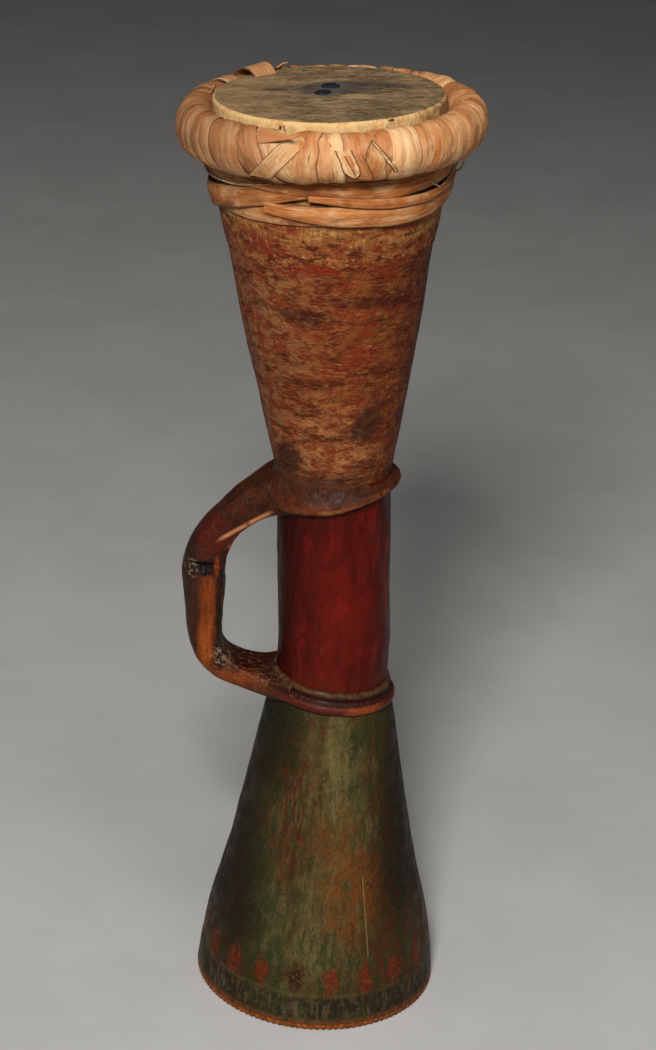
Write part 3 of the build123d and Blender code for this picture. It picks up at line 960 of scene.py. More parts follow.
# ---------------------------------------------------------------- the carved log
@dataclass
class CarvedLog:
    """The log turned hollow by fire and adze: bell, waist and cup in one piece, and its notched foot."""

    outside: tuple[tuple[float, float], ...] = (
        (0, 84.5), (24, 82.2), (44, 78.9), (65, 74.1), (88, 68.3), (106, 64.0), (228, 41.0), (232, 38.0),
        (384, 38.0), (395, 39.4), (415, 43.2), (480, 55.6), (584, 71.6), (639, 71.6),
    )
    inside: tuple[tuple[float, float], ...] = (
        (0, 77.0), (24, 74.7), (65, 66.4), (106, 56.5), (228, 25.0), (393, 25.0), (584, 65.5), (639, 65.5),
    )
    top: float = 639.0
    segments: int = 224
    row: float = 3.2
    inner_row: float = 14.0
    foot_rim_height: float = 8.2
    foot_rim_depth: float = 2.2
    foot_line: float = 27.9
    teeth: int = 120
    tooth_depth: float = 0.9
    bell_end: float = 229.5
    waist_end: float = 384.0
    waist_tilt: float = 0.121

    def outer_radius(self, height: float) -> float:
        """Rounds the outside's corners as an adze does.

        Args:
            height: Millimetres along the centreline.

        Returns:
            The outside radius there, in millimetres.
        """
        reach = (-4.5, -2, 0, 2, 4.5)
        return sum(blend_keys(self.outside, height + step) for step in reach) / len(reach)

    def wall(self) -> list[tuple[float, float]]:
        """Returns the closed profile, up the outside and down the bore."""
        rows = int(self.top / self.row)
        start = self.foot_rim_depth
        profile = [(self.outer_radius(0) - start, 1.0), (self.outer_radius(4) - start, 3.6),
                   (self.outer_radius(4), 4.4)]
        profile += [(self.outer_radius(self.top * i / rows), self.top * i / rows)
                    for i in range(2, rows + 1)]
        inner_rows = int(self.top / self.inner_row)
        profile += [(blend_keys(self.inside, self.top * i / inner_rows), self.top * i / inner_rows)
                    for i in range(inner_rows, 0, -1)]
        profile.append((blend_keys(self.inside, 0), 1.0))
        return profile

    def hand_carved(self, azimuth: float, radius: float, height: float) -> Vector:
        """Places a point of the wall with the unevenness of the adze.

        Args:
            azimuth: Radians round the log.
            radius: Millimetres from its middle.
            height: Millimetres along the centreline.

        Returns:
            The point in metres.
        """
        spot = Vector((radius * math.cos(azimuth), radius * math.sin(azimuth), height))
        facets = noise.cell(Vector((azimuth * 6, height / 22, 0))) * 0.14
        radius += 0.55 * rough(spot, 34, 1) + 0.22 * rough(spot, 9, 4) + 0.1 * rough(spot, 3.5, 7) + facets
        radius -= 0.7 * math.exp(-((height - self.foot_line) / 1.6) ** 2)
        return CENTRE.place(radius * math.cos(azimuth), radius * math.sin(azimuth), height)

    def build_wall(self) -> bpy.types.Object:
        """Builds the log and gives each zone its paint."""
        bm = spin_profile(self.wall(), self.segments)
        for face in bm.faces:
            middle = face.calc_center_median()
            radius = math.hypot(middle.x, middle.y)
            if radius < self.outer_radius(middle.z) - self.foot_rim_depth - 1 or middle.z > self.top - 1:
                face.material_index = 3
            elif middle.z < self.bell_end:
                face.material_index = 0
            elif middle.z < self.waist_end + self.waist_tilt * middle.x:
                face.material_index = 1
            else:
                face.material_index = 2
        reshape(bm, self.hand_carved)
        finishes = [finish().material() for finish in (BellPaint, WaistPaint, CupWood, BareBore)]
        return finish_piece("carved_log", bm, finishes, ["drum_shell"])

    def notch(self, azimuth: float, radius: float, height: float) -> Vector:
        """Places a point of the foot's edge, cut into a row of small teeth.

        Args:
            azimuth: Radians round the log.
            radius: Millimetres from its middle.
            height: Millimetres along the centreline.

        Returns:
            The point in metres.
        """
        if radius > blend_keys(self.outside, height) - 1.2:
            phase = 0.5 + 0.5 * math.cos(azimuth * self.teeth)
            wear = 0.5 + 0.5 * rough(Vector((azimuth * 40, 0, 0)), 9, 3)
            radius -= self.tooth_depth * (1 - phase ** 0.6) * (0.5 + 0.6 * wear)
            if height < 0.5:
                height += 1.1 * (1 - phase) * wear
        return CENTRE.place(radius * math.cos(azimuth), radius * math.sin(azimuth), height)

    def build_foot_rim(self) -> bpy.types.Object:
        """Builds the notched edge that the drum stands on."""
        low, high = self.outer_radius(0), self.outer_radius(self.foot_rim_height)
        profile = [
            (77.2, 1.2), (78.4, 0.0), (low - 2.4, 0.0), (low - 0.5, 0.3), (low + 0.1, 1.6),
            (low - 0.1, 3.2), (high + 0.2, 4.8), (high - 0.6, self.foot_rim_height),
            (high - 3, self.foot_rim_height), (77.4, self.foot_rim_height),
        ]
        bm = spin_profile(profile, self.teeth * 6)
        reshape(bm, self.notch)
        edge = Plain("bare notched hardwood edge", "6b3412", "96501c", 4.0, 0.6, (1, 1, 1), 0.4)
        return finish_piece("notched_foot_rim", bm, [edge.material()], ["drum_shell"])


# ---------------------------------------------------------------- handle and collars
@dataclass(frozen=True)
class Station:
    """A section of the handle: its middle, its heading from -X towards -Z, thickness and width."""

    x: float
    z: float
    heading: float
    thickness: float
    width: float


@dataclass
class HandleAndCollars:
    """The handle, whose ends spread into collars round the waist, all left standing from the log."""

    stations: tuple[Station, ...] = (
        Station(-27, 377.5, 6, 24, 68), Station(-36, 375.8, 11, 25, 61),
        Station(-47, 371.5, 19, 24, 48), Station(-56, 365.5, 28, 22, 40),
        Station(-66.5, 357, 38, 20.5, 36), Station(-77, 345.5, 45, 20.5, 33),
        Station(-86.5, 330, 62, 26, 30), Station(-91, 312, 88, 29, 28),
        Station(-90.2, 297, 92, 28.5, 27.5), Station(-89.4, 282, 93, 26.2, 27),
        Station(-88.4, 264, 97, 23.4, 27), Station(-84.5, 250.5, 122, 21, 29),
        Station(-75.5, 241, 146, 18, 33), Station(-61, 234.8, 164, 14.5, 39),
        Station(-48, 232.2, 171, 14, 46), Station(-36, 231.6, 176, 14, 58),
        Station(-27, 231.6, 178, 14, 68),
    )
    sharp_corner: float = 1.0
    corner_share: float = 0.42
    corner_points: int = 6
    collar_profile: tuple[tuple[float, float], ...] = (
        (35, -7.2), (39.4, -7.0), (42.8, -6.0), (44.6, -3.8), (44.8, -1.4), (44.2, 1.6), (42.8, 4.2),
        (41.2, 7.0), (40.2, 11.0), (39.7, 16.0), (38.6, 24.0), (34, 24.0),
    )
    collar_s: float = 114.0
    collar_tilt: float = 6.6
    bead_profile: tuple[tuple[float, float], ...] = (
        (35, 222.0), (41.6, 223.4), (43.9, 226.0), (44.5, 228.4), (43.4, 230.8), (40.6, 232.0),
        (39.6, 233.6), (39.7, 235.6), (40.6, 236.4), (40.7, 238.0), (39.5, 239.6), (35, 240.4),
    )
    bead_tilt: float = -4.3
    voxel: float = 1.0
    segments: int = 160
    steps_between: int = 5
    pit: tuple[float, float, float] = (-90.5, -15, 315)
    pit_depth: float = 4.2
    nick: tuple[float, float, float] = (-76, -10, 283)
    nick_depth: float = 1.1

    def smooth_stations(self) -> list[Station]:
        """Returns the stations with four more between each pair, on a smooth line through them."""
        rows = [(s.x, s.z, s.heading, s.thickness, s.width) for s in self.stations]
        rows = [rows[0], *rows, rows[-1]]
        result = []
        for before, first, second, after in zip(rows, rows[1:], rows[2:], rows[3:]):
            for step in range(self.steps_between):
                t = step / self.steps_between
                result.append(Station(*(
                    0.5 * (2 * b + (c - a) * t + (2 * a - 5 * b + 4 * c - d) * t * t
                           + (3 * b - a - 3 * c + d) * t ** 3)
                    for a, b, c, d in zip(before, first, second, after)
                )))
        return [*result, self.stations[-1]]

    def section(self, station: Station) -> list[Vector]:
        """Works out one section, with a knife-cut corner at the inner front and worn round ones elsewhere.

        Args:
            station: The section's place and size.

        Returns:
            Its points in millimetres, in order round the section.
        """
        turn = math.radians(station.heading)
        inwards = Vector((math.sin(turn), 0, -math.cos(turn)))
        half_w, half_t = station.width / 2, station.thickness / 2
        soft = self.corner_share * station.thickness
        corners = ((1, 1, 0, soft), (-1, 1, 90, self.sharp_corner), (-1, -1, 180, soft), (1, -1, 270, soft))
        points = []
        for back, inner, start, radius in corners:
            for step in range(self.corner_points):
                angle = math.radians(start + 90 * step / (self.corner_points - 1))
                across = back * (half_w - radius) + radius * math.cos(angle)
                deep = inner * (half_t - radius) + radius * math.sin(angle)
                points.append(Vector((station.x, across, station.z)) + inwards * deep)
        return points

    def add_bar(self, bm: bmesh.types.BMesh) -> None:
        """Bridges the sections into the bar of the handle.

        Args:
            bm: Where the bar goes, in millimetres.
        """
        loops = []
        for station in self.smooth_stations():
            points = [bm.verts.new(point) for point in self.section(station)]
            loops.append([bm.edges.new(pair) for pair in zip(points, points[1:] + points[:1])])
        for first, second in zip(loops, loops[1:]):
            bmesh.ops.bridge_loops(bm, edges=first + second)
        for loop in (loops[0], loops[-1]):
            bmesh.ops.contextual_create(bm, geom=loop)

    def add_collar(self, bm: bmesh.types.BMesh) -> None:
        """Turns the upper collar, sinks a groove over it on the side away from the handle and tilts it.

        Args:
            bm: Where the collar goes, in millimetres.
        """
        ring = spin_profile(self.collar_profile, self.segments)
        slope = math.tan(math.radians(self.collar_tilt))
        middle = CENTRE.bend_height + self.collar_s

        def shape(azimuth: float, radius: float, height: float) -> Vector:
            """Places a point of the collar: a thin lip away from the handle, a slope into the cup by it.

            Args:
                azimuth: Radians round the collar.
                radius: Millimetres from its middle.
                height: Millimetres over its middle.

            Returns:
                The point in millimetres.
            """
            away = smooth_share(math.cos(azimuth), 0.0, 0.8)
            near = smooth_share(-math.cos(azimuth), -0.5, 0.9)
            radius -= 3.2 * away * smooth_share(height, 2.4, 5)
            radius -= 1.7 * (1 - away) * smooth_share(height, -3, 4) * smooth_share(20 - height, 0, 20)
            radius += 1.8 * near * smooth_share(height, 0, 6) * smooth_share(18 - height, 0, 12)
            height -= 1.5 * (1 - away) * smooth_share(-height, -2, 3)
            height *= 1 - 0.42 * away * smooth_share(12 - height, 0, 6)
            height -= 0.6 * away
            flat = Vector((radius * math.cos(azimuth), radius * math.sin(azimuth), 0))
            up = middle + height + slope * flat.x
            return CENTRE.place(flat.x, flat.y, up) / MM

        reshape(ring, shape)
        move_into(bm, ring)

    def add_bead(self, bm: bmesh.types.BMesh) -> None:
        """Turns the lower bead with its groove and thin ledge, and tilts it.

        Args:
            bm: Where the bead goes, in millimetres.
        """
        ring = spin_profile(self.bead_profile, self.segments)
        slope = math.tan(math.radians(self.bead_tilt))

        def shape(azimuth: float, radius: float, height: float) -> Vector:
            """Tilts a point of the bead.

            Args:
                azimuth: Radians round the bead.
                radius: Millimetres from its middle.
                height: Millimetres over the floor.

            Returns:
                The point in millimetres.
            """
            x = radius * math.cos(azimuth)
            return Vector((x, radius * math.sin(azimuth), height + slope * x))

        reshape(ring, shape)
        move_into(bm, ring)

    def fuse(self, bm: bmesh.types.BMesh) -> bmesh.types.BMesh:
        """Fuses overlapping solids into one skin, as if cut from one block.

        Args:
            bm: The overlapping solids in millimetres, freed here.

        Returns:
            One mesh in millimetres.
        """
        carrier = bpy.data.meshes.new("fusing")
        bmesh.ops.recalc_face_normals(bm, faces=bm.faces[:])
        bm.to_mesh(carrier)
        bm.free()
        helper = bpy.data.objects.new("fusing", carrier)
        bpy.context.scene.collection.objects.link(helper)
        remesh = helper.modifiers.new("fuse", "REMESH")
        remesh.mode = "VOXEL"
        remesh.voxel_size = self.voxel
        fused = bpy.data.meshes.new_from_object(helper.evaluated_get(bpy.context.evaluated_depsgraph_get()))
        bpy.data.objects.remove(helper)
        bpy.data.meshes.remove(carrier)
        result = bmesh.new()
        result.from_mesh(fused)
        bpy.data.meshes.remove(fused)
        return result

    def carve(self, bm: bmesh.types.BMesh) -> None:
        """Smooths the joins, then adds knife marks, the pit at the elbow and the nick in the grip.

        Args:
            bm: The fused mesh in millimetres.
        """
        for _ in range(2):
            bmesh.ops.smooth_vert(
                bm, verts=bm.verts[:], factor=0.5, use_axis_x=True, use_axis_y=True, use_axis_z=True,
            )
        bm.normal_update()
        pit, nick = Vector(self.pit), Vector(self.nick)
        for vert in bm.verts:
            spot = vert.co.copy()
            push = 0.45 * rough(spot, 13, 2) + 0.22 * rough(spot, 5, 5)
            away = spot - pit
            wedge = abs(away.z - 0.35 * abs(away.x)) / 5 + abs(away.x) / 11
            push -= self.pit_depth * max(0.0, 1 - wedge) * smooth_share(-spot.y, 4, 11)
            push -= self.nick_depth * math.exp(-((spot - nick).length / 5) ** 2)
            vert.co += vert.normal * push

    def mark_wear(self, bm: bmesh.types.BMesh) -> None:
        """Stores how much each point stands out of its surroundings, where hands rub it bright.

        Args:
            bm: The carved mesh in millimetres.
        """
        layer = bm.verts.layers.float.new("worn")
        bm.normal_update()
        for vert in bm.verts:
            ring = [edge.other_vert(vert).co for edge in vert.link_edges]
            middle = sum(ring, Vector()) / len(ring)
            vert[layer] = (vert.co - middle).dot(vert.normal) / self.voxel
        for _ in range(3):
            blurred = [
                (vert[layer] + sum(edge.other_vert(vert)[layer] for edge in vert.link_edges))
                / (1 + len(vert.link_edges)) for vert in bm.verts
            ]
            for vert, value in zip(bm.verts, blurred):
                vert[layer] = value

    def build(self) -> bpy.types.Object:
        """Builds the handle and collars as one skin."""
        bm = bmesh.new()
        self.add_bar(bm)
        self.add_collar(bm)
        self.add_bead(bm)
        bm = self.fuse(bm)
        self.carve(bm)
        self.mark_wear(bm)
        bmesh.ops.scale(bm, vec=(MM, MM, MM), verts=bm.verts[:])
        return finish_piece("carved_handle_and_collars", bm, [HandleWood().material()], ["drum_shell"],
                            60)


# ---------------------------------------------------------------- strips
@dataclass
class Strips:
    """Gathers thin strips into one mesh, each with a UV map in metres and its own tone."""

    mesh: bmesh.types.BMesh = field(default_factory=bmesh.new)
    count: int = 0
    edge_width: float = 1.6

    def lay(
        self, rule: Callable[[float, float], Vector], width: float, length: float, thickness: float,
        tone: float, across: int = 8, along: int = 40,
    ) -> None:
        """Adds one strip.

        Args:
            rule: Gives the strip's surface, in metres, from places across (-1 to 1) and along (0 to 1).
            width: Millimetres across, for the fibres' scale.
            length: Millimetres along.
            thickness: Millimetres through, outwards from the rule's surface.
            tone: Place on the bast ramp.
            across: Faces across the strip.
            along: Faces along it.
        """
        strip = bmesh.new()
        bmesh.ops.create_grid(strip, x_segments=across, y_segments=along, size=1.0)
        uv = strip.loops.layers.uv.new("strip")
        tone_layer = strip.verts.layers.float.new("tone")
        edge_layer = strip.verts.layers.float.new("edge")
        shift = self.count * 0.0137
        for vert in strip.verts:
            side, share = vert.co.x, (vert.co.y + 1) / 2
            for loop in vert.link_loops:
                loop[uv].uv = (side * width / 2 * MM + shift, share * length * MM + 3 * shift)
            vert[tone_layer] = tone
            inset = (1 - abs(side)) * width / 2
            vert[edge_layer] = 1 - min(1.0, inset / self.edge_width)
            vert.co = rule(side, share)
        bmesh.ops.recalc_face_normals(strip, faces=strip.faces[:])
        bmesh.ops.solidify(strip, geom=strip.faces[:], thickness=thickness * MM)
        bmesh.ops.recalc_face_normals(strip, faces=strip.faces[:])
        move_into(self.mesh, strip)
        self.count += 1


@dataclass(frozen=True)
class Turn:
    """One turn of bast round the ring: azimuth, width and slant in degrees, tone, and how proud it lies."""

    azimuth: float
    width: float
    slant: float
    tone: float
    proud: float = 0.4
    crown: float = 0.8


@dataclass
class WoundRing:
    """The ring round the head: about fifty turns of bast over packing and two cane hoops."""

    radius: float = 85.4
    middle_s: float = 357.3
    half_width: float = 10.7
    half_height: float = 13.1
    thickness: float = 1.0
    shift: float = 1.2
    tilt: float = 0.4
    left_rise: float = 1.6
    groups: int = 8
    seed: int = 11
    front: tuple[Turn, ...] = (
        Turn(184, 9, 8, 0.5, 0.3), Turn(192, 9, 9, 0.62, 0.6), Turn(200, 8, 10, 0.42, 0.3),
        Turn(207, 8, 11, 0.66, 0.8), Turn(213, 7, 11, 0.55, 0.3), Turn(219, 7, 10, 0.8, 0.7, 0.5),
        Turn(229, 15, 7, 0.5, 0.6, 1.2), Turn(238.5, 6, 13, 0.35, 0.2), Turn(243, 8, 15, 0.55, 1.3, 1.0),
        Turn(252, 14, 13, 0.86, 0.9, 0.9), Turn(260.5, 12, -2, 0.6, 1.3, 1.3),
        Turn(268, 8, 1, 0.74, 0.6, 0.7), Turn(273, 6, 2, 0.95, 0.9, 0.6), Turn(280, 11, 2, 0.55, 0.2, 0.5),
        Turn(288.5, 12, -3, 0.5, 0.4, 0.9), Turn(298, 13, -2, 0.9, 1.0, 1.0),
        Turn(306.5, 9, -3, 0.75, 0.5, 0.6), Turn(314, 11, -3, 0.62, 0.9, 0.9),
        Turn(323, 12, -5, 0.7, 0.5, 0.9), Turn(332, 11, -6, 0.6, 0.9, 0.9),
        Turn(340, 9, -7, 0.74, 0.4, 0.6), Turn(347, 8, -8, 0.58, 0.8, 0.7), Turn(354, 9, -8, 0.5, 0.3, 0.8),
    )
    back_start: float = 1.0
    back_end: float = 178.0
    flap_radius: float = 97.0

    def point(self, azimuth: float, turn: float, lift: float) -> Vector:
        """Places a point on the ring.

        Args:
            azimuth: Degrees round the ring.
            turn: Degrees round the ring's section, 0 outwards and 90 up.
            lift: Millimetres outwards from the bundle.

        Returns:
            The point in metres.
        """
        angle, around = math.radians(azimuth), math.radians(turn)
        radius = self.radius + (self.half_width + lift) * math.cos(around)
        x = radius * math.cos(angle) + self.shift
        s = self.middle_s + (self.half_height + lift) * math.sin(around)
        s += math.tan(math.radians(self.tilt)) * x
        s += self.left_rise * smooth_share(-x, 10, 80) * smooth_share(math.sin(around), 0, 1)
        return CENTRE.place(x, radius * math.sin(angle), CENTRE.bend_height + s)

    def turns(self) -> list[Turn]:
        """Returns every turn: the ones listed at the front, and uneven ones at the back."""
        pick = random.Random(self.seed)
        result = list(self.front)
        azimuth = self.back_start
        while azimuth < self.back_end:
            width = pick.uniform(7, 14)
            tone = pick.choice((0.3, 0.45, 0.5, 0.6, 0.66, 0.8, 0.95))
            result.append(Turn(azimuth + width / 2 - 1, width, pick.uniform(4, 12), tone,
                               pick.uniform(0.2, 1.1), pick.uniform(0.6, 1.2)))
            azimuth += width - 1.8
        return result

    def wind(self, strips: Strips, turn: Turn, number: int) -> None:
        """Lays one turn, proud at one edge where it covers the turn before.

        Args:
            strips: Where the turn goes.
            turn: Its place, width and tone.
            number: Its place in the winding, which seeds its unevenness.
        """
        def rule(side: float, share: float) -> Vector:
            """Places a point of the strip.

            Args:
                side: Place across it, from -1 to 1.
                share: Place along it, from 0 to 1.

            Returns:
                The point in metres.
            """
            around = 186 - 372 * share
            place = Vector((turn.azimuth * 1.6, around / 6, side * 4 + number))
            azimuth = turn.azimuth + side * turn.width / 2 * (1 + 0.1 * rough(place, 5, 3))
            azimuth += turn.slant * (share - 0.5) * 2 + 0.5 * rough(place, 6, 1)
            lift = turn.crown * (1 - side * side) + turn.proud * (0.5 + 0.5 * side)
            lift += 0.5 * rough(place, 3.2, 5)
            return self.point(azimuth, around, lift)

        length = math.tau * (self.half_width + self.half_height) / 2
        width = math.radians(turn.width) * (self.radius + self.half_width)
        strips.lay(rule, width, length, self.thickness, turn.tone, max(4, int(width / 1.6)), 44)

    def flap(
        self, strips: Strips, azimuth: float, low: float, high: float, width: float, lift: float,
        slant: float, tip: float, tone: float, curl: float = 1.0,
    ) -> None:
        """Lays a torn piece that lies on the turns.

        Args:
            strips: Where the flap goes.
            azimuth: Degrees at its middle.
            low: Degrees round the section where it starts.
            high: Degrees where it ends.
            width: Degrees across at its widest.
            lift: Millimetres over the turns.
            slant: Degrees of azimuth that it leans from start to end.
            tip: Share of its length over which it narrows to a point at the high end.
            tone: Place on the bast ramp.
            curl: Millimetres that its edges rise.
        """
        def rule(side: float, share: float) -> Vector:
            """Places a point of the strip.

            Args:
                side: Place across it, from -1 to 1.
                share: Place along it, from 0 to 1.

            Returns:
                The point in metres.
            """
            narrow = math.sqrt(max(0.02, 1 - smooth_share(share, 1 - tip, 1.0) ** 1.5))
            place = Vector((azimuth, share * 18, side * 5))
            around = low + (high - low) * share
            at = azimuth + slant * (share - 0.5) + side * width / 2 * narrow + 0.4 * rough(place, 3, 2)
            rise = lift + curl * side * side + 0.4 * rough(place, 4, 6) + 0.8 * curl * share * share
            return self.point(at, around, rise)

        length = math.radians(abs(high - low)) * (self.half_height + self.half_width) / 2
        strips.lay(rule, math.radians(width) * self.flap_radius, length, 0.6, tone, 8, 16)

    def loose_end(
        self, strips: Strips, azimuth: float, width: float, rise: float, lean: float, tone: float,
        curl: float,
    ) -> None:
        """Lays a strip's end that stands up behind the head and curls over.

        Args:
            strips: Where the end goes.
            azimuth: Degrees at its middle.
            width: Millimetres across.
            rise: Millimetres that it stands up.
            lean: Millimetres that it leans inwards by its top.
            tone: Place on the bast ramp.
            curl: Millimetres that its tip curls back down.
        """
        angle = math.radians(azimuth)
        out = Vector((math.cos(angle), math.sin(angle), 0))
        round_ring = Vector((math.sin(angle), -math.cos(angle), 0))

        def rule(side: float, share: float) -> Vector:
            """Places a point of the strip.

            Args:
                side: Place across it, from -1 to 1.
                share: Place along it, from 0 to 1.

            Returns:
                The point in metres.
            """
            turned = share * curl * math.pi
            roll = rise / max(1.0, curl)
            up = self.middle_s + self.half_height - 2 + (rise - roll) * min(1.0, 2 * share)
            up += roll * math.sin(turned)
            wobble = 0.8 * rough(Vector((azimuth, share * 7, side * 3)), 3, 4)
            flat = out * (self.radius - 1.5 - lean * share - roll * (1 - math.cos(turned)) + wobble)
            flat += round_ring * (side * width / 2 * (1 - 0.15 * share) + 3.5 * share)
            height = CENTRE.bend_height + up + 1.6 * side * share + wobble * share
            return CENTRE.place(flat.x, flat.y, height)

        strips.lay(rule, width, rise * 1.6, 0.7, tone, 8, 16)

    def build(self) -> list[bpy.types.Object]:
        """Builds the ring, one piece to each CAD wrap."""
        groups = [Strips() for _ in range(self.groups)]
        arc = 360 / self.groups
        for number, turn in enumerate(self.turns()):
            self.wind(groups[int((turn.azimuth % 360) // arc)], turn, number)
        front_left, front_right = groups[5], groups[6]
        self.flap(front_left, 252.5, -46, 62, 9.5, 2.4, 17, 0.32, 0.9, 0.5)
        self.flap(front_left, 239.0, -40, 34, 2.2, 0.9, 7, 0.4, 0.42, 0.3)
        self.flap(front_right, 277.5, 28, -34, 6.0, 1.4, 4, 0.3, 0.97, 1.6)
        self.flap(front_right, 281.5, 16, -46, 6.5, 1.9, 5, 0.25, 0.42, 0.8)
        self.flap(front_right, 287.0, -48, 44, 7.2, 1.7, -2, 0.55, 0.7, 0.6)
        self.flap(front_right, 290.4, -30, 46, 1.3, 2.6, -9, 0.3, 1.0, 0.2)
        back = groups[2]
        self.loose_end(back, 134, 19, 12.0, 3.0, 0.66, 1.25)
        self.loose_end(back, 118, 9.5, 8.5, 3.0, 0.66, 0.4)
        self.loose_end(groups[3], 166, 14, 4.0, 4.0, 0.5, 0.4)
        material = Bast().material()
        return [
            finish_piece(
                f"bast_wrap_{number}", strips.mesh, [material], [f"ring_wrap_{number}"], 45,
            )
            for number, strips in enumerate(groups, start=1)
        ]


@dataclass(frozen=True)
class Band:
    """A strip bound round the skirt: azimuths, height and width at each end, how deep it lies, its tone."""

    start: float
    end: float
    low_s: tuple[float, ...]
    width: tuple[float, ...]
    lift: float
    tone: float
    crease: float = 0.7


@dataclass
class Bindings:
    """Flat bast strips crossed over the skirt to hold it, and the thin twine over them."""

    inner: tuple[Band, ...] = (
        Band(-10, 360, (318, 317, 317, 318, 318), (13, 12, 13, 14, 13), 0.2, 0.4),
        Band(-10, 360, (335, 335, 336, 336, 336), (15, 16, 16, 16, 16), 0.6, 0.35),
    )
    outer: tuple[Band, ...] = (
        Band(166, 264, (313, 318, 327, 334), (12, 15, 14, 7), 2.9, 0.44, 0.8),
        Band(150, 285, (336, 337, 337, 335), (9, 10, 9, 6), 3.9, 0.5),
        Band(222, 378, (337, 336, 333, 335, 337), (6, 10, 12, 11, 9), 4.0, 0.45),
        Band(240, 372, (322, 318, 316, 318, 325), (6, 13, 15, 15, 12), 2.7, 0.66, 0.8),
        Band(262, 356, (330, 325, 323, 328), (3, 7, 6, 4), 4.6, 0.5, 0.4),
        Band(-20, 185, (320, 316, 318, 317), (13, 14, 12, 13), 2.7, 0.5),
        Band(0, 170, (334, 331, 333, 336), (10, 12, 10, 9), 3.0, 0.25),
    )
    cup_middle_radius: float = 55.2
    cup_middle_s: float = 215.0
    cup_slope: float = 0.1615
    rim_radius: float = 72.0
    skin: float = 1.4
    thickness: float = 0.9
    lap_radius: float = 76.0
    twine_radius: float = 0.65
    twine_steps: int = 260
    twine_keys: tuple[tuple[float, float, float], ...] = (
        (-30, 326, 5.6), (-12, 331, 5.5), (-4, 336, 9.0), (2, 331, 12.5), (6, 323, 9.5), (12, 319, 5.2),
        (40, 321, 5.4), (80, 323, 5.4), (120, 326, 5.4), (160, 331, 5.4), (185, 334, 5.8), (205, 332, 6.4),
        (225, 333, 6.4), (240, 336, 5.6), (254, 340, 4.2), (270, 341.5, 2.4), (300, 341.5, 2.4),
        (318, 336, 4.6), (330, 326, 5.6),
    )

    def point(self, azimuth: float, s: float, lift: float) -> Vector:
        """Places a point over the skirt.

        Args:
            azimuth: Degrees round the cup.
            s: Millimetres along the leaning axis.
            lift: Millimetres over the skirt.

        Returns:
            The point in metres.
        """
        angle = math.radians(azimuth)
        radius = min(self.rim_radius, self.cup_middle_radius + (s - self.cup_middle_s) * self.cup_slope)
        radius += self.skin + lift
        return CENTRE.place(radius * math.cos(angle), radius * math.sin(angle), CENTRE.bend_height + s)

    def lay_band(self, strips: Strips, band: Band, number: int) -> None:
        """Lays one strip along its own uneven line.

        Args:
            strips: Where it goes.
            band: Its line.
            number: Seeds its creases.
        """
        def along(values: tuple[float, ...], share: float) -> float:
            """Reads a value off evenly spaced keys, rounded a little.

            Args:
                values: The keys.
                share: Place along the strip, from 0 to 1.

            Returns:
                The value there.
            """
            keys = [(i / (len(values) - 1), value) for i, value in enumerate(values)]
            return sum(blend_keys(keys, share + step) for step in (-0.06, 0, 0.06)) / 3

        def rule(side: float, share: float) -> Vector:
            """Places a point of the strip.

            Args:
                side: Place across it, from -1 to 1.
                share: Place along it, from 0 to 1.

            Returns:
                The point in metres.
            """
            azimuth = band.start + (band.end - band.start) * share
            place = Vector((azimuth / 9, side * 3.2, number * 7))
            s = along(band.low_s, share) + side * along(band.width, share) / 2 + 0.7 * rough(place, 2, 1)
            lift = band.lift + 0.9 * (1 - side * side)
            lift += band.crease * rough(Vector((azimuth / 14, side * 5, number)), 1.6, 3)
            return self.point(azimuth, s, lift)

        length = math.radians(band.end - band.start) * self.lap_radius
        width = sum(band.width) / len(band.width)
        strips.lay(rule, width, length, self.thickness, band.tone, 10, max(40, int(length / 3)))

    def build_twine(self) -> bpy.types.Object:
        """Builds the twine and its loose loop, as a thin round tube."""
        levels = [(azimuth, s) for azimuth, s, _ in self.twine_keys]
        lifts = [(azimuth, lift) for azimuth, _, lift in self.twine_keys]

        def middle(share: float) -> Vector:
            """Follows the twine's middle.

            Args:
                share: Place along the twine, from 0 to 1.

            Returns:
                The point in metres.
            """
            azimuth = -30 + 360 * share
            reach = (-4, -2, 0, 2, 4)
            s = sum(blend_keys(levels, azimuth + step) for step in reach) / len(reach)
            lift = sum(blend_keys(lifts, azimuth + step) for step in reach) / len(reach)
            return self.point(azimuth, s, lift)

        bm = bmesh.new()
        loops = []
        for step in range(self.twine_steps):
            share = step / self.twine_steps
            here, ahead = middle(share), middle((share + 0.002) % 1.0)
            turned = (ahead - here).to_track_quat("Z", "Y").to_matrix().to_4x4()
            matrix = Matrix.Translation(here) @ turned
            ring = bmesh.ops.create_circle(bm, segments=8, radius=self.twine_radius * MM, matrix=matrix)
            loops.append(list({edge for vert in ring["verts"] for edge in vert.link_edges}))
        for first, second in zip(loops, loops[1:] + loops[:1]):
            bmesh.ops.bridge_loops(bm, edges=first + second)
        bmesh.ops.recalc_face_normals(bm, faces=bm.faces[:])
        fibre = Plain("twisted bast twine", "b49a72", "7d6240", 1.6, 0.7, (1, 1, 1), 0.15)
        return finish_piece(
            "binding_twine_loop", bm, [fibre.material()], ["binding_twine"], 80,
        )

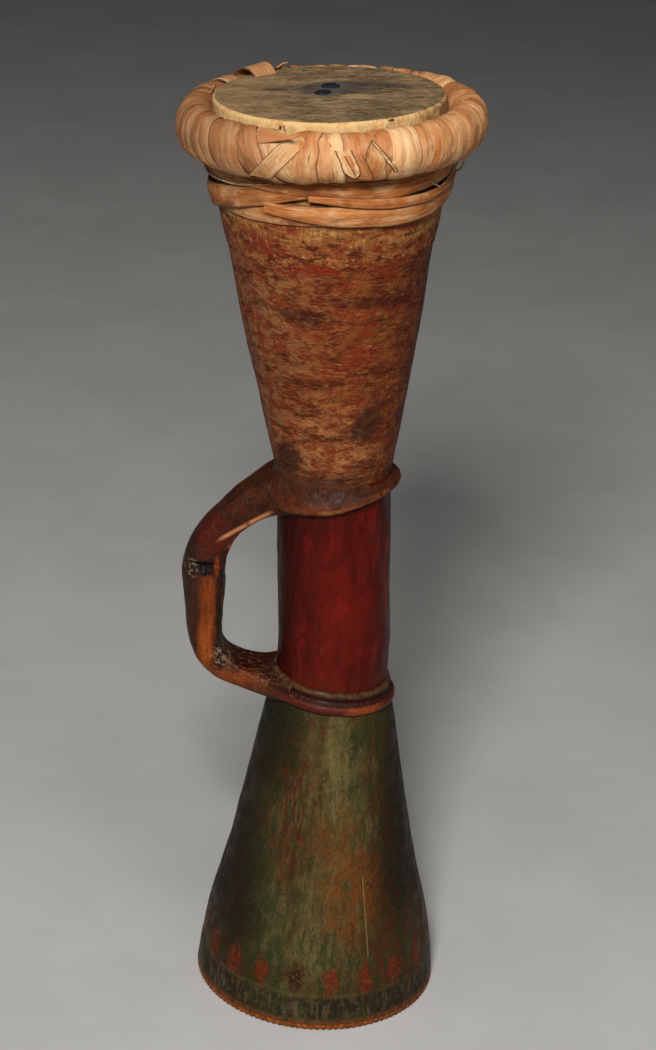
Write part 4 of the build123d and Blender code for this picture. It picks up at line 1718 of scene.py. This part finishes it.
    def build(self) -> list[bpy.types.Object]:
        """Builds the strips, as the four CAD strips hold them, and the twine."""
        ramp = (
            (0.0, "392317"), (0.2, "5d3a27"), (0.36, "7e4421"), (0.5, "8f4d21"), (0.62, "9c5b2d"),
            (0.8, "a96a39"), (1.0, "b87b4a"),
        )
        finish = Bast("bound bast strip, darkened by handling", ramp, 0.6, pale="cf9c62", red=0.6)
        material = finish.material()
        pieces = []
        lots = (
            self.inner[:1], self.inner[1:],
            self.outer[3:6:2] + self.outer[:1], self.outer[1:3] + self.outer[4:7:2],
        )
        for number, bands in enumerate(lots, start=1):
            strips = Strips()
            for place, band in enumerate(bands):
                self.lay_band(strips, band, number * 10 + place)
            pieces.append(finish_piece(
                f"bast_binding_{number}", strips.mesh, [material], [f"binding_strip_{number}"],
                45,
            ))
        pieces.append(self.build_twine())
        return pieces


# ---------------------------------------------------------------- head
@dataclass
class Head:
    """The rawhide head, lapped over the rim and drawn down the cup, with lumps of tuning wax on it."""

    bindings: Bindings
    top_s: float = 375.3
    under_s: float = 373.6
    edge_radius: float = 70.6
    outer_radius: float = 73.3
    skirt_end: float = 283.0
    hem_taper: float = 16.0
    torn_below: float = 298.0
    ragged: float = 5.0
    clean_above: float = 346.0
    hidden_above: float = 330.0
    segments: int = 216
    rings: int = 22
    rows: int = 34
    lumps: tuple[tuple[float, float, float, float], ...] = ((0.0, 17.0, 6.0, 1.9), (-4.0, 0.0, 5.4, 1.7))

    def profile(self) -> list[tuple[float, float]]:
        """Returns the skin's section, from the middle of its top out, down, and back under."""
        rise = CENTRE.bend_height
        points = [(self.edge_radius * i / self.rings, self.top_s + rise) for i in range(self.rings + 1)]
        round_over = self.outer_radius - self.edge_radius
        for step in range(1, 5):
            turn = math.radians(22.5 * step)
            points.append((self.edge_radius + round_over * math.sin(turn),
                           self.top_s + rise - round_over * (1 - math.cos(turn))))
        bottom = self.skirt_end
        for step in range(1, self.rows + 1):
            s = self.top_s - round_over - (self.top_s - round_over - bottom) * step / self.rows
            thick = 0.95 * smooth_share(s, bottom, bottom + self.hem_taper)
            points.append((self.cup(s) + 0.35 + thick, s + rise))
        points += [(self.cup(s) + 0.12, s + rise) for s in (bottom, 287, 292, 300, 310, 319, 345)]
        points.append((self.cup(self.under_s) + 0.1, self.under_s + rise))
        points += [(self.edge_radius * i / 4, self.under_s + rise) for i in range(3, -1, -1)]
        return points

    def cup(self, s: float) -> float:
        """Follows the cup under the skin.

        Args:
            s: Millimetres along the leaning axis.

        Returns:
            The cup's radius there, in millimetres.
        """
        b = self.bindings
        return min(b.rim_radius, b.cup_middle_radius + (s - b.cup_middle_s) * b.cup_slope)

    def dried(self, azimuth: float, radius: float, height: float) -> Vector:
        """Places a point of the skin, cockled as it dried, with a torn hem.

        Args:
            azimuth: Radians round the head.
            radius: Millimetres from its middle.
            height: Millimetres along the centreline.

        Returns:
            The point in metres.
        """
        s = height - CENTRE.bend_height
        x, y = radius * math.cos(azimuth), radius * math.sin(azimuth)
        if s > self.under_s - 1:
            height += (0.5 * rough(Vector((x, y, 0)), 24, 2) * (1 - radius / 90)
                       + 0.12 * rough(Vector((x, y, 5)), 6, 4))
        else:
            swell = 0.35 * rough(Vector((x, y, s)), 13, 6) + 0.18 * rough(Vector((x, y, s * 0.4)), 5, 8)
            x, y = x * (1 + swell / radius), y * (1 + swell / radius)
        if s < self.torn_below:
            tear = rough(Vector((azimuth * 22, 0, 0)), 6, 3)
            tear += 0.6 * rough(Vector((azimuth * 60, 0, 0)), 4, 5)
            height += self.ragged * tear * (self.torn_below - s) / (self.torn_below - self.skirt_end)
        return CENTRE.place(x, y, height)

    def build_skin(self) -> bpy.types.Object:
        """Builds the skin."""
        bm = spin_profile(self.profile(), self.segments, closed=False)
        rise = CENTRE.bend_height
        for face in bm.faces:
            middle = face.calc_center_median()
            radius, s = math.hypot(middle.x, middle.y), middle.z - rise
            if s > self.top_s - 0.7 and radius < self.edge_radius + 1.4:
                face.material_index = 0
            elif s > self.clean_above or radius < self.edge_radius - 5 and s > self.hidden_above:
                face.material_index = 1
            else:
                face.material_index = 2
        reshape(bm, self.dried)
        hide = Rawhide()
        finishes = [hide.head(), hide.edge(), hide.skirt()]
        return finish_piece("rawhide_head", bm, finishes, ["drum_skin"])

    def build_lump(self, number: int) -> bpy.types.Object:
        """Builds one lump of tuning wax, pressed on with a thumb.

        Args:
            number: The lump's number, from 1.

        Returns:
            The lump.
        """
        x, y, radius, rise = self.lumps[number - 1]
        bm = bmesh.new()
        bmesh.ops.create_icosphere(bm, subdivisions=4, radius=1.0)
        for vert in bm.verts:
            spot = vert.co.copy()
            swell = 1 + 0.16 * rough(spot * 3, 1.8, number) + 0.06 * rough(spot * 3, 0.7, number + 4)
            dent = 0.35 * math.exp(-((spot.x - 0.2) ** 2 + (spot.y + 0.2) ** 2) / 0.1) if spot.z > 0 else 0.0
            height = CENTRE.bend_height + self.top_s + 0.2 + rise * (max(0.0, spot.z * swell - dent) - 0.12)
            vert.co = CENTRE.place(x + spot.x * swell * radius, y + spot.y * swell * radius, height)
        bmesh.ops.remove_doubles(bm, verts=bm.verts[:], dist=1e-6)
        wax = Plain("blue black beeswax and soot", "101114", "25272c", 1.6, 0.42, (1, 1, 1), 0.3)
        return finish_piece(
            f"wax_lump_{number}", bm, [wax.material()], [f"tuning_wax_{number}"],
        )

    def build(self) -> list[bpy.types.Object]:
        """Builds the skin and its wax."""
        return [self.build_skin(), *(self.build_lump(n) for n in range(1, len(self.lumps) + 1))]


# ---------------------------------------------------------------- pieces that keep their CAD shape
@dataclass(frozen=True)
class HiddenCore:
    """Cane hoops and packing inside the ring, which keep their shape and take a finish."""

    hoops: tuple[str, ...] = ("cane_hoop_lower", "cane_hoop_upper")
    packing: str = "ring_packing"

    def dress(self) -> None:
        """Gives the hoops split cane and the packing coarse fibre."""
        cane = Plain("split rattan cane", "a98450", "7b5a30", 3.0, 0.45, (1, 1, 0.3), 0.2).material()
        fibre = Plain("teased bast packing", "8d7350", "5f4a30", 1.8, 0.95, (3, 3, 0.6), 0.8).material()
        for name, material in [*((hoop, cane) for hoop in self.hoops), (self.packing, fibre)]:
            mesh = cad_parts[name].data
            mesh.materials.clear()
            mesh.materials.append(material)


# ---------------------------------------------------------------- stage
class Side(Enum):
    """Where a studio light stands: azimuth and elevation in degrees, seen from the drum."""

    KEY = (-98.0, 40.0)
    FILL = (-58.0, 20.0)
    TOP = (-84.0, 74.0)
    RIM_LEFT = (158.0, 24.0)
    RIM_RIGHT = (22.0, 24.0)


@dataclass(frozen=True)
class Studio:
    """A pale floor, soft lights and the camera."""

    target: Vector = Vector((-0.012, 0.0, 0.33))
    floor_size: float = 16.0
    lights: tuple[tuple[Side, float, float, float], ...] = (
        (Side.KEY, 2.2, 0.5, 66.0), (Side.FILL, 2.6, 1.2, 5.0), (Side.TOP, 2.2, 1.2, 13.0),
        (Side.RIM_LEFT, 2.2, 0.5, 2.5), (Side.RIM_RIGHT, 2.2, 0.5, 3.0),
    )
    lens: float = 87.57
    camera_place: tuple[float, float, float] = (-0.009, -1.566, 1.033)
    pitch: float = 23.69
    roll: float = 3.73
    world: str = "b9bcc2"
    world_strength: float = 0.05

    def build_floor(self) -> bpy.types.Object:
        """Builds the floor, matt and pale."""
        bm = bmesh.new()
        bmesh.ops.create_grid(bm, x_segments=4, y_segments=4, size=self.floor_size / 2)
        mesh = bpy.data.meshes.new("studio_floor")
        bm.to_mesh(mesh)
        bm.free()
        floor = bpy.data.objects.new("studio_floor", mesh)
        bpy.context.scene.collection.objects.link(floor)
        g = Graph("matt pale studio floor")
        colour = g.stack("a3a19d", (("aaa8a4", g.patches(160, 0.3, 0.7)),))
        mesh.materials.append(g.surface(colour, 0.9, ((g.patches(3, 0.3, 0.7), 0.05),)))
        return floor

    def build_lights(self) -> None:
        """Builds the soft area lights, all turned to the drum."""
        for side, distance, size, power in self.lights:
            azimuth, elevation = (math.radians(value) for value in side.value)
            out = Vector((math.cos(azimuth) * math.cos(elevation), math.sin(azimuth) * math.cos(elevation),
                          math.sin(elevation)))
            light = bpy.data.lights.new(f"soft_{side.name.lower()}", "AREA")
            light.shape = "DISK"
            light.size = size
            light.energy = power
            lamp = bpy.data.objects.new(light.name, light)
            lamp.location = self.target + out * distance
            lamp.rotation_euler = (-out).to_track_quat("-Z", "Y").to_euler()
            bpy.context.scene.collection.objects.link(lamp)
        world = bpy.data.worlds.new("soft_room")
        world.use_nodes = True
        background = world.node_tree.nodes["Background"]
        background.inputs["Color"].default_value = linear(self.world)
        background.inputs["Strength"].default_value = self.world_strength
        bpy.context.scene.world = world
        bpy.context.scene.view_settings.view_transform = "Standard"

    def build_camera(self) -> None:
        """Builds the camera, a little above the head and tipped down."""
        data = bpy.data.cameras.new("camera")
        data.lens = self.lens
        data.sensor_width = 36.0
        pitch, roll = math.radians(self.pitch), math.radians(self.roll)
        ahead = Vector((0, math.cos(pitch), -math.sin(pitch)))
        right = Vector((1, 0, 0))
        up = right.cross(ahead)
        across = right * math.cos(roll) + up * math.sin(roll)
        upright = up * math.cos(roll) - right * math.sin(roll)
        camera = bpy.data.objects.new("camera", data)
        turned = Matrix((across, upright, -ahead)).transposed().to_4x4()
        camera.matrix_world = Matrix.Translation(self.camera_place) @ turned
        bpy.context.scene.collection.objects.link(camera)
        bpy.context.scene.camera = camera

    def build(self) -> None:
        """Builds the stage."""
        self.build_floor()
        self.build_lights()
        self.build_camera()


def main() -> None:
    """Builds the drum and its stage, in the order that it is made on the bench."""
    logging.basicConfig(level=logging.INFO, format="%(name)s: %(message)s")
    log = CarvedLog()
    log.build_wall()
    log.build_foot_rim()
    HandleAndCollars().build()
    bindings = Bindings()
    Head(bindings).build()
    WoundRing().build()
    bindings.build()
    HiddenCore().dress()
    Studio().build()


if __name__ == "__main__":
    main()
